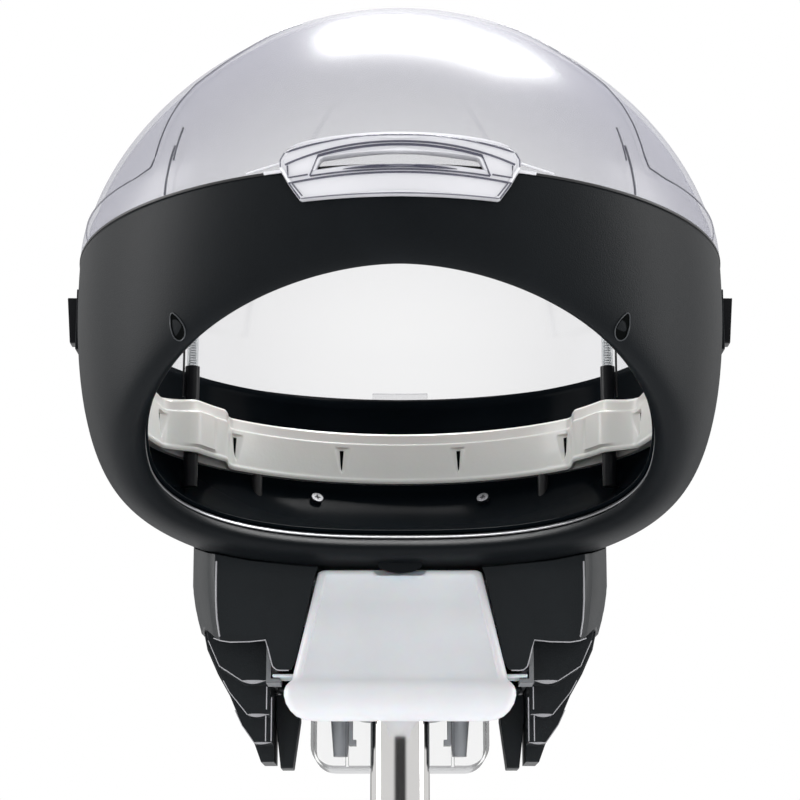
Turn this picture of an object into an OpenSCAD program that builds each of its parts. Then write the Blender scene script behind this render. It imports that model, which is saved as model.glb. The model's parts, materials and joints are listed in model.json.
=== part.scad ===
// Free-standing ozone hair steamer on a five-castor stand. Lengths are in millimetres.
// The head is drawn about the centre of the hood's rim: x to the right, y to the back, z up.
// It is then carried to its place above the mast. The floor is z = 0.

/* [Hood] */
// Half width of the hood at its rim
rim_half_w = 217; // [210:1:224]
// Half depth of the hood at its rim
rim_half_d = 241; // [236:1:248]
// Height of the clear dome above the rim
dome_h = 178; // [150:1:200]
// Wall of the clear dome
dome_t = 3; // [2:0.5:4]
// Wall of the black lower shell
shell_t = 3; // [2:0.5:4]
// Half width of the face opening
mouth_half_w = 160; // [154:1:164]
// Setback of the opening's upper edge behind the front of the rim
mouth_top_setback = 10; // [8:1:14]
// Drop of the opening's upper edge below the rim
mouth_top_drop = 55; // [50:1:60]
// Reach of the opening's lower edge in front of the hood's centre
mouth_low_reach = 25; // [20:1:30]
// Drop of the opening's lower edge below the rim
hood_drop = 184; // [180:1:188]
// Distance from the rim's half width and depth in to the liner's upper edge
bowl_inset_w = 27; // [26:1:30]
// The same distance at the back
bowl_inset_d = 20; // [19:1:24]
// Drop of the liner's upper edge below the rim
bowl_drop = 35; // [34:1:36]
// Drop of the rim's back half below its front half
rim_dip = 31; // [20:1:33]
// Wall of the liner
bowl_t = 2.5; // [2:0.5:3]
// Gap between the liner's upper edge and the back of the steam ring
ring_inset = 6; // [6:0.5:8]
// Depth of the steam ring, front to back
ring_t = 8; // [6:1:9]
// Height of the steam ring
ring_h = 39; // [30:1:40]
// Drop of the steam ring's top edge below the rim
ring_drop = 65; // [62:1:66]

/* [Housing] */
// Half width of the housing
housing_half_w = 143.5; // [140:0.5:146]
// Half width of the flat front panel
panel_half_w = 122.6; // [118:0.2:126]
// Reach of the front panel in front of the hood's centre
panel_reach = 10; // [8:1:12]
// Setback of the housing's back from the back of the rim
housing_setback = 21; // [19:1:26]
// Height of the front panel below the housing's deck
panel_h = 48; // [44:1:52]
// Height of the housing below its deck
housing_h = 69; // [66:1:74]
// Wall of the housing's covers
cover_t = 3; // [2:0.5:4]
// Depth of each louvre step, front to back
step_pitch = 28; // [26:1:30]
// Height of the stepped louvres
louvre_h = 84.5; // [78:0.5:90]
// Wall of the louvres
louvre_t = 2.5; // [2:0.5:3]

/* [Tank and cup] */
// Half width of the tank at its top
tank_top_half_w = 52.6; // [48:0.2:56]
// Half width of the tank at its lip
tank_half_w = 73.6; // [70:0.2:75]
// Height of the tank
tank_h = 100.5; // [96:0.5:106]
// Height of the tank's thick lower lip
tank_lip_h = 45; // [38:1:50]
// Reach of the lip in front of the hood's centre
tank_reach = 45; // [40:1:50]
// Wall of the tank
tank_t = 2; // [1.5:0.5:3]
// Half width of the drip cup
cup_half_w = 62; // [56:1:64]
// Depth of the drip cup, front to back
cup_d = 64; // [56:1:66]
// Height of the drip cup
cup_h = 50; // [46:1:54]
// Wall of the drip cup
cup_t = 2; // [1.5:0.5:2.5]

/* [Stand] */
// Height of the hood's rim above the floor
rim_height = 1400; // [1300:5:1500]
// Diameter of the polished mast
mast_d = 40; // [38:0.5:42]
// Distance of the mast's axis behind the hood's centre
mast_back = 52; // [50:1:54]
// Length of the polished mast
mast_len = 800; // [700:10:860]
// Diameter of the fixed lower tube
tube_d = 50; // [49:0.5:54]
// Height of the lower tube's top above the floor
tube_top = 720; // [640:10:780]
// Wall of the tubes
tube_t = 2; // [1.5:0.5:2.5]
// Reach of the base's legs to the castor stems
leg_reach = 290; // [270:5:320]
// Radius of the castor wheels
wheel_r = 25; // [20:1:30]
// Width of one castor wheel
wheel_w = 13; // [10:1:16]

/* [Hidden] */
// General clearances and overrun
eps = 1;
run_gap = 0.05;
seat_gap = 0.3;
facet_gap = 0.9;
$fn = 48;

// Hood shape
mouth_wide_share = 0.64;
mouth_upper_power = 1.85;
mouth_lower_power = 2.6;
dome_width_power = 1.84;
dome_rise_power = 1.72;
dome_last_angle = 87;
front_pull = 20;
back_pull = 222;
rim_bulge = 4;
back_bulge = 24;
front_roll = 16;
back_roll = 58;
front_slip = 4;
back_slip = -32;
side_roll = 30;
side_slip_share = 0.6;
seal_h = 1.6;
hood_sides = 64;
shell_rings = 14;
dome_rings = 12;
bowl_rings = 12;
trim_w = 4;
trim_t = 1.5;
bowl_front_pull = 8;
bowl_back_pull = 150;
bowl_back_bulge = 22;
bowl_side_roll = 14;
bowl_back_slip = 60;
bowl_front_roll = 2;
bowl_back_roll = 16;
tab_half_w = 17;
tab_half_d = 15;
tab_drop = 6.5;
tab_reach = 31;

ring_half_w = rim_half_w - bowl_inset_w - ring_inset;
ring_half_d = rim_half_d - bowl_inset_d - 2 * ring_inset;
mouth_top = [mouth_top_setback - rim_half_d, -mouth_top_drop];
mouth_low = [-mouth_low_reach, -hood_drop];
mouth_len = norm(mouth_low - mouth_top);
mouth_dir = (mouth_low - mouth_top) / mouth_len;
mouth_out = [0, mouth_dir[1], -mouth_dir[0]];

// Levels in the head, measured from the rim
deck_gap = 17;
deck_z = -(hood_drop + deck_gap);
deck_t = 3;
floor_z = deck_z - housing_h;
floor_t = 3;
side_h = 35;
side_low_z = deck_z - side_h;
panel_y = -panel_reach;
housing_back = rim_half_d - housing_setback;
dip_from_angle = 90;
dip_to_angle = 118;
dip_rows = 3;

// Mast and stand
mast_r = mast_d / 2;
socket_t = 8;
socket_r = mast_r + socket_t;
socket_h = 92;
mast_top_z = deck_z - deck_t;
fender_gap = 1.5;
fender_t = 2.5;
fender_r = wheel_r + fender_gap + fender_t;
castor_trail = 22;
castor_web = 10;
wheel_gap = 0.5;
castor_half_w = castor_web / 2 + wheel_gap + wheel_w + wheel_gap;
castor_head_h = 8;
castor_head_r = 14;
castor_top = wheel_r + fender_r + 4 * seat_gap + castor_head_h / 2;
stem_r = 5;
stem_h = 20;
axle_r = 3;
leg_count = 5;
leg_step = 360 / leg_count;
leg_h = 24;
leg_root_w = 46;
leg_tip_w = 30;
leg_z = castor_top + seat_gap;
leg_boss_r = 17;
hub_r = 48;
hub_h = 44;
hub_lip = 2;
tube_r = tube_d / 2;
bush_h = 50;
collar_h = 54;
collar_t = 6;
knob_stud_r = 4;
knob_boss_r = 9;
knob_boss_len = 12;
knob_r = 19;
knob_len = 22;
knob_lobe_r = 5;
knob_drop = 27;
back_angle = 54;
base_front = leg_reach + castor_trail + fender_r;
base_back = base_front * sin(back_angle) + castor_half_w * cos(back_angle);
mast_y = (base_front - base_back) / 2;
mast_top = rim_height + mast_top_z;

// Tank
tank_gap = 2;
tank_top_z = deck_z - 5 * seat_gap;
tank_low_z = tank_top_z - tank_h;
tank_lip_z = tank_low_z + tank_lip_h;
tank_back = mast_back - socket_r - tank_gap;
tank_top_reach = 15;
tank_face_reach = 38;
tank_ledge_drop = 4;
tank_corner_r = 20;
tank_front_r = 6;
tank_fill_half_w = 20;
tank_fill_drop = 8;
tank_rib_t = 2.5;
tank_rib_drop = 14.5;
tank_rib_z = tank_lip_z - tank_rib_drop;
tank_rib_front = -5;
frame_half_w = 88;
frame_t = 3;
frame_front = -4;
frame_back = 150;
runner_w = 6;
valve_r = 7;
valve_len = 5;
valve_x = -45;
valve_rise = 8;
valve_z = floor_z + valve_rise;
feed_r = 4;
elbow_t = 1;
feed_port_angle = 223;

// Drip cup
cup_gap = 6;
cup_front = mast_back + socket_r + cup_gap;
cup_low_z = floor_z - floor_t - cup_h - seat_gap * 10;
cup_corner_r = 16;
spout_x = 42;
spout_top_r = 8.5;
spout_tip_r = 5;
spout_h = 43;
hook_x = 33;
hook_t = 2.5;
hook_w = 12;
hook_setback = 4;
hook_h = 37;
hook_toe = 4;
guide_front = 112;
guide_d = 28;
guide_h = 51.5;
guide_w = 17.2;
guide_taper = 4;
guide_tip_w = 12.6;

// Housing outline
back_half_w = 64;
back_power = 2.2;
housing_taper = 20;
taper_power = 1.6;
facet_y = [-4, 20, 60];
facet_x_shares = [0.26, 0.785, 1];
facet_lean_shares = [0.5, 1, 1];
wing_drop = 20;
louvre_front = 20;
louvre_back = frame_back + 2;

// Boiler and electrics
boiler_r = 45;
boiler_t = 2;
boiler_h = 55;
boiler_y = 130;
lid_t = 3;
lid_lap = 1;
element_r = 28;
element_wire_r = 4;
element_h = 12;
thermostat_r = 9;
thermostat_h = 4;
pipe_r = 4;
pipe_port_angle = 36;
riser_angle = 36.5;
riser = [(ring_half_w - ring_t / 2) * sin(riser_angle), (ring_half_d - ring_t / 2) * cos(riser_angle)];
unit_x = 91;
unit_w = 24;
unit_l = 70;
unit_h = 43;
unit_y = 62;
board_t = 1.6;
board_gap = 4;
board_l = 70;
board_h = 50;
board_low = 58;

// Control panel
desk_half_w = 58;
desk_h = 80;
desk_t = 12;
desk_top_z = -116;
desk_corner_r = 8;
dial_r = 19;
dial_h = 14;
dial_shaft_r = 3;
dial_shaft_len = 8;
dial_drop = 32;
rocker_x = 38;
rocker_drop = 60;
rocker_half_w = 7.7;
rocker_half_l = 11;
rocker_t = 6;
rocker_tilt = 8;
rocker_pin_r = 1.5;
rocker_pin_len = 1.3;
rocker_depth = 3;
lamp_r = 4;
lamp_h = 2;
inlet_x = -45;
inlet_setback = 37;
inlet_y = housing_back - inlet_setback;
inlet_w = 30;
inlet_d = 24;
inlet_h = 22;
inlet_flange = 3;
inlet_flange_t = 2;
inlet_wall = 3;
inlet_pin_w = 4;
inlet_pin_t = 2;
inlet_pin_len = 13;
inlet_pin_step = 7;

// Ozone posts
post_place_shares = [0.8125, 0.4115];
post_x = ring_half_w * post_place_shares[0];
post_y = ring_half_d * post_place_shares[1];
post_r = 5.2;
post_top = -40;
glass_r = 4;
glass_t = 0.8;
glass_top = 62;
glass_seat = 15;
mesh_t = 0.4;
lead_r = 0.8;
lead_h = 44;
clip_w = 28;
clip_room = 31.2;
clip_d = clip_room - 2 * ring_t;

// Hinge, handle and catches
hinge_gap = 12;
hinge_drop = 9;
hinge_pin_r = 3;
knuckle_r = 8;
leaf_half_w = 21.7;
ear_half_w = 30;
arm_t = 15;
arm_foot_h = 12;
arm_nose_h = 50;
leaf_h = 6;
leaf_t = 5;
handle_curve_r = 195;
handle_t = 9;
handle_half_w = 76;
handle_top = 25;
handle_low = -20;
handle_bar_half_w = 66;
flap_half_w = 57;
flap_top = -6;
flap_gap = 3;
slot_half_w = 50;
slot_low = -3;
slot_top = 11;
slot_end_r = 7;
handle_corner_r = 10;
latch_x = 220.5;
latch_t = 6.4;
latch_tip_t = 4;
latch_half_w = 6;
latch_top = -13.8;
latch_h = 32;
latch_plate_t = 2.4;
latch_plate_half_w = 10;
latch_travel = 5;

// Geometry helpers
function sgnpow(v, e) = sign(v) * pow(abs(v), e);
function bezier(a, b, c, d, t) =
    pow(1 - t, 3) * a + 3 * t * pow(1 - t, 2) * b + 3 * t * t * (1 - t) * c + pow(t, 3) * d;
function unit(v) = v / norm(v);
function mix(a, b, s) = a + (b - a) * s;

// Edge of the face opening at angle ph, which is 0 at the front and 180 at the back
function mouth_pt(ph) =
    let(s = sin(ph), c = cos(ph),
        half = mouth_len * (c >= 0 ? mouth_wide_share : 1 - mouth_wide_share),
        e = 2 / (c >= 0 ? mouth_upper_power : mouth_lower_power),
        along = mouth_len * mouth_wide_share - half * sgnpow(c, e))
    [mouth_half_w * sgnpow(s, e), mouth_top[0] + mouth_dir[0] * along,
        mouth_top[1] + mouth_dir[1] * along];

// Small tab under the middle of the opening's lower edge
function tab_dip(p) =
    tab_drop * exp(-pow(p[0] / tab_half_w, 4)) * exp(-pow((p[1] + tab_reach) / tab_half_d, 4))
    * (p[2] < -hood_drop ? 1 : 0);

// Outer face of the lower shell, from the rim (t = 0) to the face opening (t = 1)
shell_raw = function(ph, t)
    let(s = sin(ph), c = cos(ph), u = (1 - c) / 2,
        rim = [rim_half_w * s, -rim_half_d * c, 0],
        edge = mouth_pt(ph),
        bulge = rim_bulge + back_bulge * pow(u, 4),
        roll = mix(front_roll, back_roll, u),
        slip = mix(front_slip, back_slip, u),
        a = rim + [s * bulge, -c * bulge, -mix(front_pull, back_pull, u)],
        b = edge + roll * mouth_out
            + [s * slip * side_slip_share + side_roll * s * abs(s),
                -mouth_dir[0] * c * slip, -mouth_dir[1] * c * slip])
    bezier(rim, a, b, edge, t);
shell_pt = function(ph, t) let(p = shell_raw(ph, t)) p - [0, 0, tab_dip(p)];

// Height of the rim, which dips behind the side catches, and the shell's share t at a height
function rim_z(ph) =
    let(q = min(max((acos(cos(ph)) - dip_from_angle) / (dip_to_angle - dip_from_angle), 0), 1))
    -rim_dip * q * q * (3 - 2 * q);
function share_at(ph, z, lo = 0, hi = 0.5, n = 16) =
    z >= 0 ? 0 : n == 0 ? (lo + hi) / 2 :
    let(mid = (lo + hi) / 2)
    shell_raw(ph, mid)[2] > z ? share_at(ph, z, mid, hi, n - 1) : share_at(ph, z, lo, mid, n - 1);

// Inner face of the liner, from its upper edge to the face opening
bowl_pt = function(ph, t)
    let(s = sin(ph), c = cos(ph), u = (1 - c) / 2,
        rim = [(rim_half_w - bowl_inset_w) * s, -(rim_half_d - bowl_inset_d) * c, -bowl_drop],
        edge = mouth_pt(ph) - (trim_w + 2 * facet_gap + seat_gap + bowl_t) * mouth_out,
        bulge = bowl_back_bulge * u * u,
        roll = bowl_back_roll * u * u - bowl_front_roll,
        slip = bowl_back_slip * u,
        a = rim + [s * bulge, -c * bulge, -mix(bowl_front_pull, bowl_back_pull, u)],
        b = edge + roll * mouth_out + [bowl_side_roll * s * abs(s), -mouth_dir[0] * c * slip, 0])
    bezier(rim, a, b, edge, t);

// Outer face of the dome: rise runs from 0 at the rim to 90 degrees at the crown
function dome_pt(ph, rise, inset = 0) =
    let(r = pow(cos(rise), 2 / dome_width_power))
    [(rim_half_w - inset) * sin(ph) * r, -(rim_half_d - inset) * cos(ph) * r,
        seal_h + (dome_h - inset) * pow(sin(rise), 2 / dome_rise_power)];
// Outer face of the dome and of its skirt at the back, by height above the seal
function skirt_pt(ph, z, inset = 0) = z >= 0 ?
    dome_pt(ph, asin(pow(z / dome_h, dome_rise_power / 2)), inset) :
    let(p = shell_raw(ph, share_at(ph, z)))
    [p[0] * (1 - inset / rim_half_w), p[1] * (1 - inset / rim_half_d), z + seal_h];

// Unit normal of a surface, pointing into the hood
function inward(f, ph, t) =
    let(da = 0.5, dt = 0.004, lo = max(t - dt, 0), hi = min(t + dt, 1))
    unit(cross(f(ph + da, t) - f(ph - da, t), f(ph, hi) - f(ph, lo)));

// Angle and share on a surface where its coordinates i and j take the wanted values
function solve(f, i, j, want, at, n = 9) =
    n == 0 ? at :
    let(da = 0.5, dt = 0.004, ph = at[0], t = at[1], p = f(ph, t),
        u = (f(ph + da, t) - p) / da, v = (f(ph, t + dt) - p) / dt,
        e = [want[0] - p[i], want[1] - p[j]], det = u[i] * v[j] - u[j] * v[i])
    solve(f, i, j, want, [ph + (e[0] * v[j] - e[1] * v[i]) / det,
        t + (u[i] * e[1] - u[j] * e[0]) / det], n - 1);
// Nearest of a coarse set of starts for the place x, y on a surface's underside
function nearest(f, x, y) =
    let(c = [for (ph = [96 : 12 : 180], t = [0.1 : 0.12 : 0.82])
            let(p = f(ph, t)) [norm([p[0] - abs(x), p[1] - y]), ph, t]],
        low = min([for (q = c) q[0]]))
    [for (q = c) if (q[0] == low) [q[1], q[2]]][0];
function under(f, x, y) =
    let(at = solve(f, 0, 1, [abs(x), y], nearest(f, x, y))) f(at[0], at[1])[2];
// Height of the shell's underside, and of the liner's floor, over a place
function under_z(x, y) = under(shell_raw, x, y);
function bowl_z(x, y) = under(bowl_pt, x, y);

// Closed solid between two grids of points, with cells left out where open() says so
module skin(outer, inner, wrap = true, open = function(i, j) false, cap = false) {
    n = len(outer);
    m = len(outer[0]);
    last = wrap ? n - 1 : n - 2;
    at = function(k, i, j) (k * n + (i + n) % n) * m + j;
    filled = function(i, j)
        (wrap || (i >= 0 && i <= last)) && j >= 0 && j <= m - 2 && !open((i + n) % n, j);
    cells = [for (i = [0 : last], j = [0 : m - 2]) if (filled(i, j)) [i, j]];
    quads = [for (c = cells) let(i = c[0], j = c[1]) each [
        [at(0, i, j), at(0, i + 1, j), at(0, i + 1, j + 1), at(0, i, j + 1)],
        [at(1, i, j), at(1, i, j + 1), at(1, i + 1, j + 1), at(1, i + 1, j)],
        if (!filled(i, j - 1) && !(cap && j == 0))
            [at(0, i + 1, j), at(0, i, j), at(1, i, j), at(1, i + 1, j)],
        if (!filled(i, j + 1))
            [at(0, i, j + 1), at(0, i + 1, j + 1), at(1, i + 1, j + 1), at(1, i, j + 1)],
        if (!filled(i - 1, j))
            [at(0, i, j), at(0, i, j + 1), at(1, i, j + 1), at(1, i, j)],
        if (!filled(i + 1, j))
            [at(0, i + 1, j + 1), at(0, i + 1, j), at(1, i + 1, j), at(1, i + 1, j + 1)]
    ]];
    caps = cap ? [[for (i = [n - 1 : -1 : 0]) at(0, i, 0)], [for (i = [0 : n - 1]) at(1, i, 0)]]
        : [];
    polyhedron(
        points = concat([for (r = outer) each r], [for (r = inner) each r]),
        faces = concat([for (q = quads) each [[q[0], q[1], q[2]], [q[0], q[2], q[3]]]], caps));
}

module in_head() {
    translate([0, mast_y - mast_back, rim_height]) children();
}
module on_mast() {
    translate([0, mast_y, 0]) children();
}
module both_sides() {
    children();
    mirror([1, 0, 0]) children();
}
module facing_back() {
    rotate([90, 0, 180]) children();
}
// A round rod through a list of points, with upright round elbows
module rod(points, r) {
    for (k = [0 : len(points) - 2]) {
        a = points[k];
        d = points[k + 1] - a;
        translate(a)
            rotate([0, acos(d[2] / norm(d)), atan2(d[1], d[0])])
                cylinder(r = r, h = norm(d));
    }
    for (k = [1 : 1 : len(points) - 2]) translate(points[k])
        cylinder(r = r + elbow_t, h = 2 * (r + elbow_t), center = true);
}
function arc(c, r, from, to, steps = 8) =
    [for (k = [0 : steps]) let(g = mix(from, to, k / steps)) c + r * [cos(g), sin(g)]];
// Rectangle with round corners, about its centre
function round_box(half_w, half_h, r) = concat(
    arc([half_w - r, half_h - r], r, 0, 90), arc([r - half_w, half_h - r], r, 90, 180),
    arc([r - half_w, r - half_h], r, 180, 270), arc([half_w - r, r - half_h], r, 270, 360));

// Stand
module base_star() color("#2b2d30") on_mast() difference() {
    union() {
        translate([0, 0, leg_z - hub_lip]) cylinder(r = hub_r, h = leg_h + 2 * hub_lip);
        translate([0, 0, leg_z + leg_h + hub_lip])
            cylinder(r1 = hub_r, r2 = tube_r + collar_t, h = hub_h - leg_h - hub_lip);
        for (k = [0 : leg_count - 1]) rotate(k * leg_step - 90) {
            translate([0, 0, leg_z]) linear_extrude(leg_h) polygon([
                [hub_r / 2, -leg_root_w / 2], [leg_reach, -leg_tip_w / 2],
                [leg_reach, leg_tip_w / 2], [hub_r / 2, leg_root_w / 2]]);
            translate([leg_reach, 0, leg_z]) cylinder(r = leg_boss_r, h = leg_h);
        }
    }
    translate([0, 0, leg_z + leg_h / 4]) cylinder(r = tube_r + run_gap, h = hub_h);
    for (k = [0 : leg_count - 1]) rotate(k * leg_step - 90)
        translate([leg_reach, 0, leg_z - eps]) cylinder(r = stem_r + run_gap, h = stem_h + eps);
}
module lower_tube() color("#2b2d30") on_mast() difference() {
    translate([0, 0, leg_z + leg_h / 4]) cylinder(r = tube_r, h = tube_top - leg_z - leg_h / 4);
    translate([0, 0, leg_z]) cylinder(r = tube_r - tube_t, h = tube_top - bush_h - leg_z);
    translate([0, 0, leg_z]) cylinder(r = mast_r + run_gap, h = tube_top);
    translate([0, 0, tube_top - knob_drop]) rotate([-90, 0, 0])
        cylinder(r = knob_stud_r + seat_gap, h = tube_d);
}
module height_collar() color("#1b1c1e") on_mast() difference() {
    union() {
        translate([0, 0, tube_top - collar_h])
            cylinder(r = tube_r + collar_t, h = collar_h);
        translate([0, 0, tube_top - knob_drop]) rotate([-90, 0, 0])
            cylinder(r = knob_boss_r, h = tube_r + collar_t + knob_boss_len);
    }
    translate([0, 0, tube_top - collar_h - knob_boss_r])
        cylinder(r = tube_r + run_gap, h = collar_h + collar_t + knob_boss_r);
    translate([0, 0, tube_top - knob_drop]) rotate([-90, 0, 0])
        cylinder(r = knob_stud_r + run_gap, h = 2 * tube_d);
}
module height_knob() color("#1b1c1e") on_mast() translate([0, 0, tube_top - knob_drop])
    rotate([-90, 0, 0]) {
        translate([0, 0, mast_r + 2 * seat_gap])
            cylinder(r = knob_stud_r, h = tube_r + collar_t + knob_boss_len + knob_len / 2 - mast_r);
        translate([0, 0, tube_r + collar_t + knob_boss_len + seat_gap]) {
            cylinder(r = knob_r - knob_lobe_r, h = knob_len);
            for (k = [0 : leg_count - 1]) rotate(k * leg_step)
                translate([knob_r - knob_lobe_r, 0, 0]) cylinder(r = knob_lobe_r, h = knob_len);
        }
    }
module at_castor(k) {
    on_mast() rotate((k - 1) * leg_step - 90) translate([leg_reach, 0, 0]) children();
}
module castor_fork(k) color("#26282b") at_castor(k) {
    translate([0, 0, castor_top - castor_head_h]) cylinder(r = castor_head_r, h = castor_head_h);
    translate([0, 0, castor_top - eps]) cylinder(r = stem_r, h = stem_h - eps);
    rotate([90, 0, 0]) translate([0, 0, -castor_web / 2]) linear_extrude(castor_web) polygon([
        [-castor_head_r, castor_top - castor_head_h / 2], [castor_head_r, castor_top - castor_head_h / 2],
        [castor_trail + wheel_r / 2, wheel_r + wheel_r / 2],
        [castor_trail + axle_r * 2, wheel_r - axle_r * 2],
        [castor_trail - axle_r * 2, wheel_r - axle_r * 2], [-castor_head_r, castor_top - castor_head_r]]);
    translate([castor_trail, 0, wheel_r]) rotate([90, 0, 0]) {
        cylinder(r = axle_r, h = 2 * castor_half_w, center = true);
        difference() {
            cylinder(r = fender_r, h = 2 * castor_half_w, center = true, $fn = 72);
            cylinder(r = fender_r - fender_t, h = 2 * castor_half_w + eps, center = true, $fn = 72);
            translate([-2 * fender_r, -2 * fender_r, -2 * fender_r])
                cube([4 * fender_r, 2 * fender_r, 4 * fender_r]);
        }
    }
}
module castor_wheels(k) color("#3a3c40") at_castor(k)
    translate([castor_trail, 0, wheel_r]) rotate([90, 0, 0])
        for (side = [-1, 1]) translate([0, 0, side * (castor_web / 2 + wheel_gap + wheel_w / 2)])
            difference() {
                cylinder(r = wheel_r, h = wheel_w, center = true, $fn = 72);
                cylinder(r = axle_r + run_gap, h = wheel_w + eps, center = true);
                translate([0, 0, side * wheel_w / 2])
                    cylinder(r = wheel_r * 0.6, h = wheel_w / 3, center = true);
            }
module upper_tube() color("#d4d6da") on_mast() difference() {
    translate([0, 0, mast_top - mast_len]) cylinder(r = mast_r, h = mast_len, $fn = 96);
    translate([0, 0, mast_top - mast_len - eps])
        cylinder(r = mast_r - tube_t, h = mast_len + 2 * eps, $fn = 96);
}

// Frame of the head, with four posts under the hood
mount_r = 7;
mount_places = [[60, mast_back + mast_r / 2], [50, boiler_y]];
function mount_height(x, y) =
    min([for (g = [0 : 45 : 315]) under_z(x + mount_r * cos(g), y + mount_r * sin(g))])
        - seat_gap - deck_z;
module chassis() color("#8d9095") in_head() difference() {
    union() {
        translate([0, mast_back, mast_top_z - socket_h]) cylinder(r = socket_r, h = socket_h + deck_t);
        translate([-frame_half_w, tank_back + tank_gap, mast_top_z])
            cube([2 * frame_half_w, frame_back - tank_back - tank_gap, deck_t]);
        both_sides() {
            translate([frame_half_w - frame_t, frame_front, floor_z])
                cube([frame_t, frame_back - frame_front, -floor_z + deck_z]);
            translate([frame_half_w - frame_t, frame_front, tank_rib_z - seat_gap - frame_t])
                cube([frame_t, tank_back - frame_front, deck_z - tank_rib_z]);
            translate([frame_half_w - frame_t - runner_w, frame_front, tank_rib_z - seat_gap - frame_t])
                cube([runner_w + eps, tank_back - frame_front, frame_t]);
            translate([socket_r - socket_t / 2, mast_back - frame_t / 2, deck_z - socket_h / 3])
                cube([frame_half_w - socket_r, frame_t, socket_h / 3]);
            for (p = mount_places) translate([p[0], p[1], deck_z - eps])
                cylinder(r = mount_r, h = mount_height(p[0], p[1]) + eps);
        }
    }
    translate([0, mast_back, mast_top_z - socket_h - eps])
        cylinder(r = mast_r + run_gap, h = socket_h + eps, $fn = 96);
}
// Plan of the housing's side and back, from beside the mast (0) to the flat back (90)
function plan_pt(g, lean = 0) =
    [back_half_w + (housing_half_w - back_half_w - lean) * pow(cos(g), 2 / back_power),
        facet_y[2] + (housing_back - facet_y[2]) * pow(sin(g), 2 / back_power) - lean * pow(sin(g), 3)];
function lean_at(z) = housing_taper * pow(max(deck_z - z, 0) / housing_h, taper_power);
function wall_column(place, z_low, rows) =
    let(top = place(deck_z), z_top = under_z(top[0], top[1]) - facet_gap)
    [for (k = [0 : rows]) let(z = mix(z_top, z_low, k / rows), p = place(z)) [p[0], p[1], z]];

// Front wing of the housing with its turned side facet
wing_rows = 4;
function wing_places(inset) =
    let(slope = (tank_half_w - tank_top_half_w) / (tank_h - tank_lip_h),
        edge = tank_top_half_w + tank_gap * 0.8,
        yi = panel_y + inset)
    concat(
        [for (q = [[0, 0, 1], [0.09, 0.07, 0.85], [0.2, 0.15, 0]])
            [function(z) [edge + q[0] * panel_half_w / 2 + (slope - q[1] * slope) * max(deck_z - z, 0), yi],
                mix(deck_z - panel_h, deck_z - panel_h - wing_drop, q[2])]],
        [for (q = [0.82, 1]) [function(z) [(panel_half_w - inset * 0.4) * q
                - (q == 1 ? lean_at(z) * 0.4 : 0), yi], deck_z - panel_h]],
        [for (k = [0 : 2]) [function(z) [mix(panel_half_w, housing_half_w, facet_x_shares[k]) - inset
                - lean_at(z) * facet_lean_shares[k], facet_y[k] + (k == 0 ? inset * 0.7 : 0)],
            k == 0 ? mix(deck_z - panel_h, side_low_z, 0.3) : side_low_z]]);
module side_cover_right() color("#232427") in_head() skin(
    [for (w = wing_places(0)) wall_column(w[0], w[1], wing_rows)],
    [for (w = wing_places(cover_t)) wall_column(w[0], w[1], wing_rows)], wrap = false);
module side_cover_left() mirror([1, 0, 0]) side_cover_right();

// Sides and back of the housing
step_angle = 35;
back_shares = [0.75, 0.5, 0.25, 0];
rear_angles = [0, 7, 14, 22, 28, step_angle, step_angle + 1, 44, 54, 64, 74, 82, 90];
rear_rows = 7;
function rear_half(inset) = concat(
    [for (g = rear_angles) wall_column(
        function(z) plan_pt(g, lean_at(z) + inset) + (g == 0 ? [0, seat_gap] : [0, 0]),
        g <= step_angle ? side_low_z : floor_z, rear_rows)],
    [for (q = back_shares) wall_column(
        function(z) [back_half_w * q, housing_back - lean_at(z) - inset], floor_z, rear_rows)]);
function mirrored(rows) = [for (k = [len(rows) - 2 : -1 : 0]) [for (p = rows[k]) [-p[0], p[1], p[2]]]];
module rear_housing() color("#232427") in_head() skin(
    concat(rear_half(0), mirrored(rear_half(0))),
    concat(rear_half(cover_t), mirrored(rear_half(cover_t))), wrap = false);
module base_plate() color("#1e1f21") in_head() {
    side = [for (g = rear_angles) if (g > step_angle)
        plan_pt(g, lean_at(floor_z) + cover_t + 2 * seat_gap)];
    half_w = frame_half_w - frame_t - seat_gap;
    front = mast_back + socket_r + 2 * tank_gap;
    difference() {
        translate([0, 0, floor_z - floor_t]) linear_extrude(floor_t) polygon(concat(
            [[-half_w, front], [half_w, front], [half_w, louvre_back + seat_gap]],
            [[side[0][0], louvre_back + seat_gap]], side,
            [for (k = [len(side) - 1 : -1 : 0]) [-side[k][0], side[k][1]]],
            [[-side[0][0], louvre_back + seat_gap], [-half_w, louvre_back + seat_gap]]));
        translate([inlet_x - inlet_w / 2 - seat_gap, inlet_y - inlet_d / 2 - seat_gap, floor_z - inlet_h])
            cube([inlet_w + 2 * seat_gap, inlet_d + 2 * seat_gap, 2 * inlet_h]);
    }
}

// Stepped louvres
step_drop_shares = [0.426, 0.663, 0.864, 1];
step_inset_shares = [0.044, 0.018, 0.004, 0];
step_bottom_shares = [0.774, 0.759, 0.737, 0.714];
louvre_top_w = 136.5;
edge_x_shares = [1, 0.986, 0.93, 0.867, 0.804, 0.751];
edge_z_shares = [0, 0.107, 0.308, 0.485, 0.722, 0.84];
function step_outline(k, inset) =
    let(low = louvre_h * step_drop_shares[k] - inset, in_x = frame_half_w + seat_gap + inset)
    concat([[in_x, inset > 0 ? eps : -seat_gap]],
        [for (q = [0 : len(edge_x_shares) - 1]) if (edge_z_shares[q] < step_drop_shares[k] - 0.09)
            [louvre_top_w * (edge_x_shares[q] - step_inset_shares[k]) - inset,
                q == 0 ? (inset > 0 ? eps : -seat_gap) : -louvre_h * edge_z_shares[q] + inset / 4]],
        [[louvre_top_w * step_bottom_shares[k] - inset / 2, -low], [in_x, -low]]);
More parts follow.
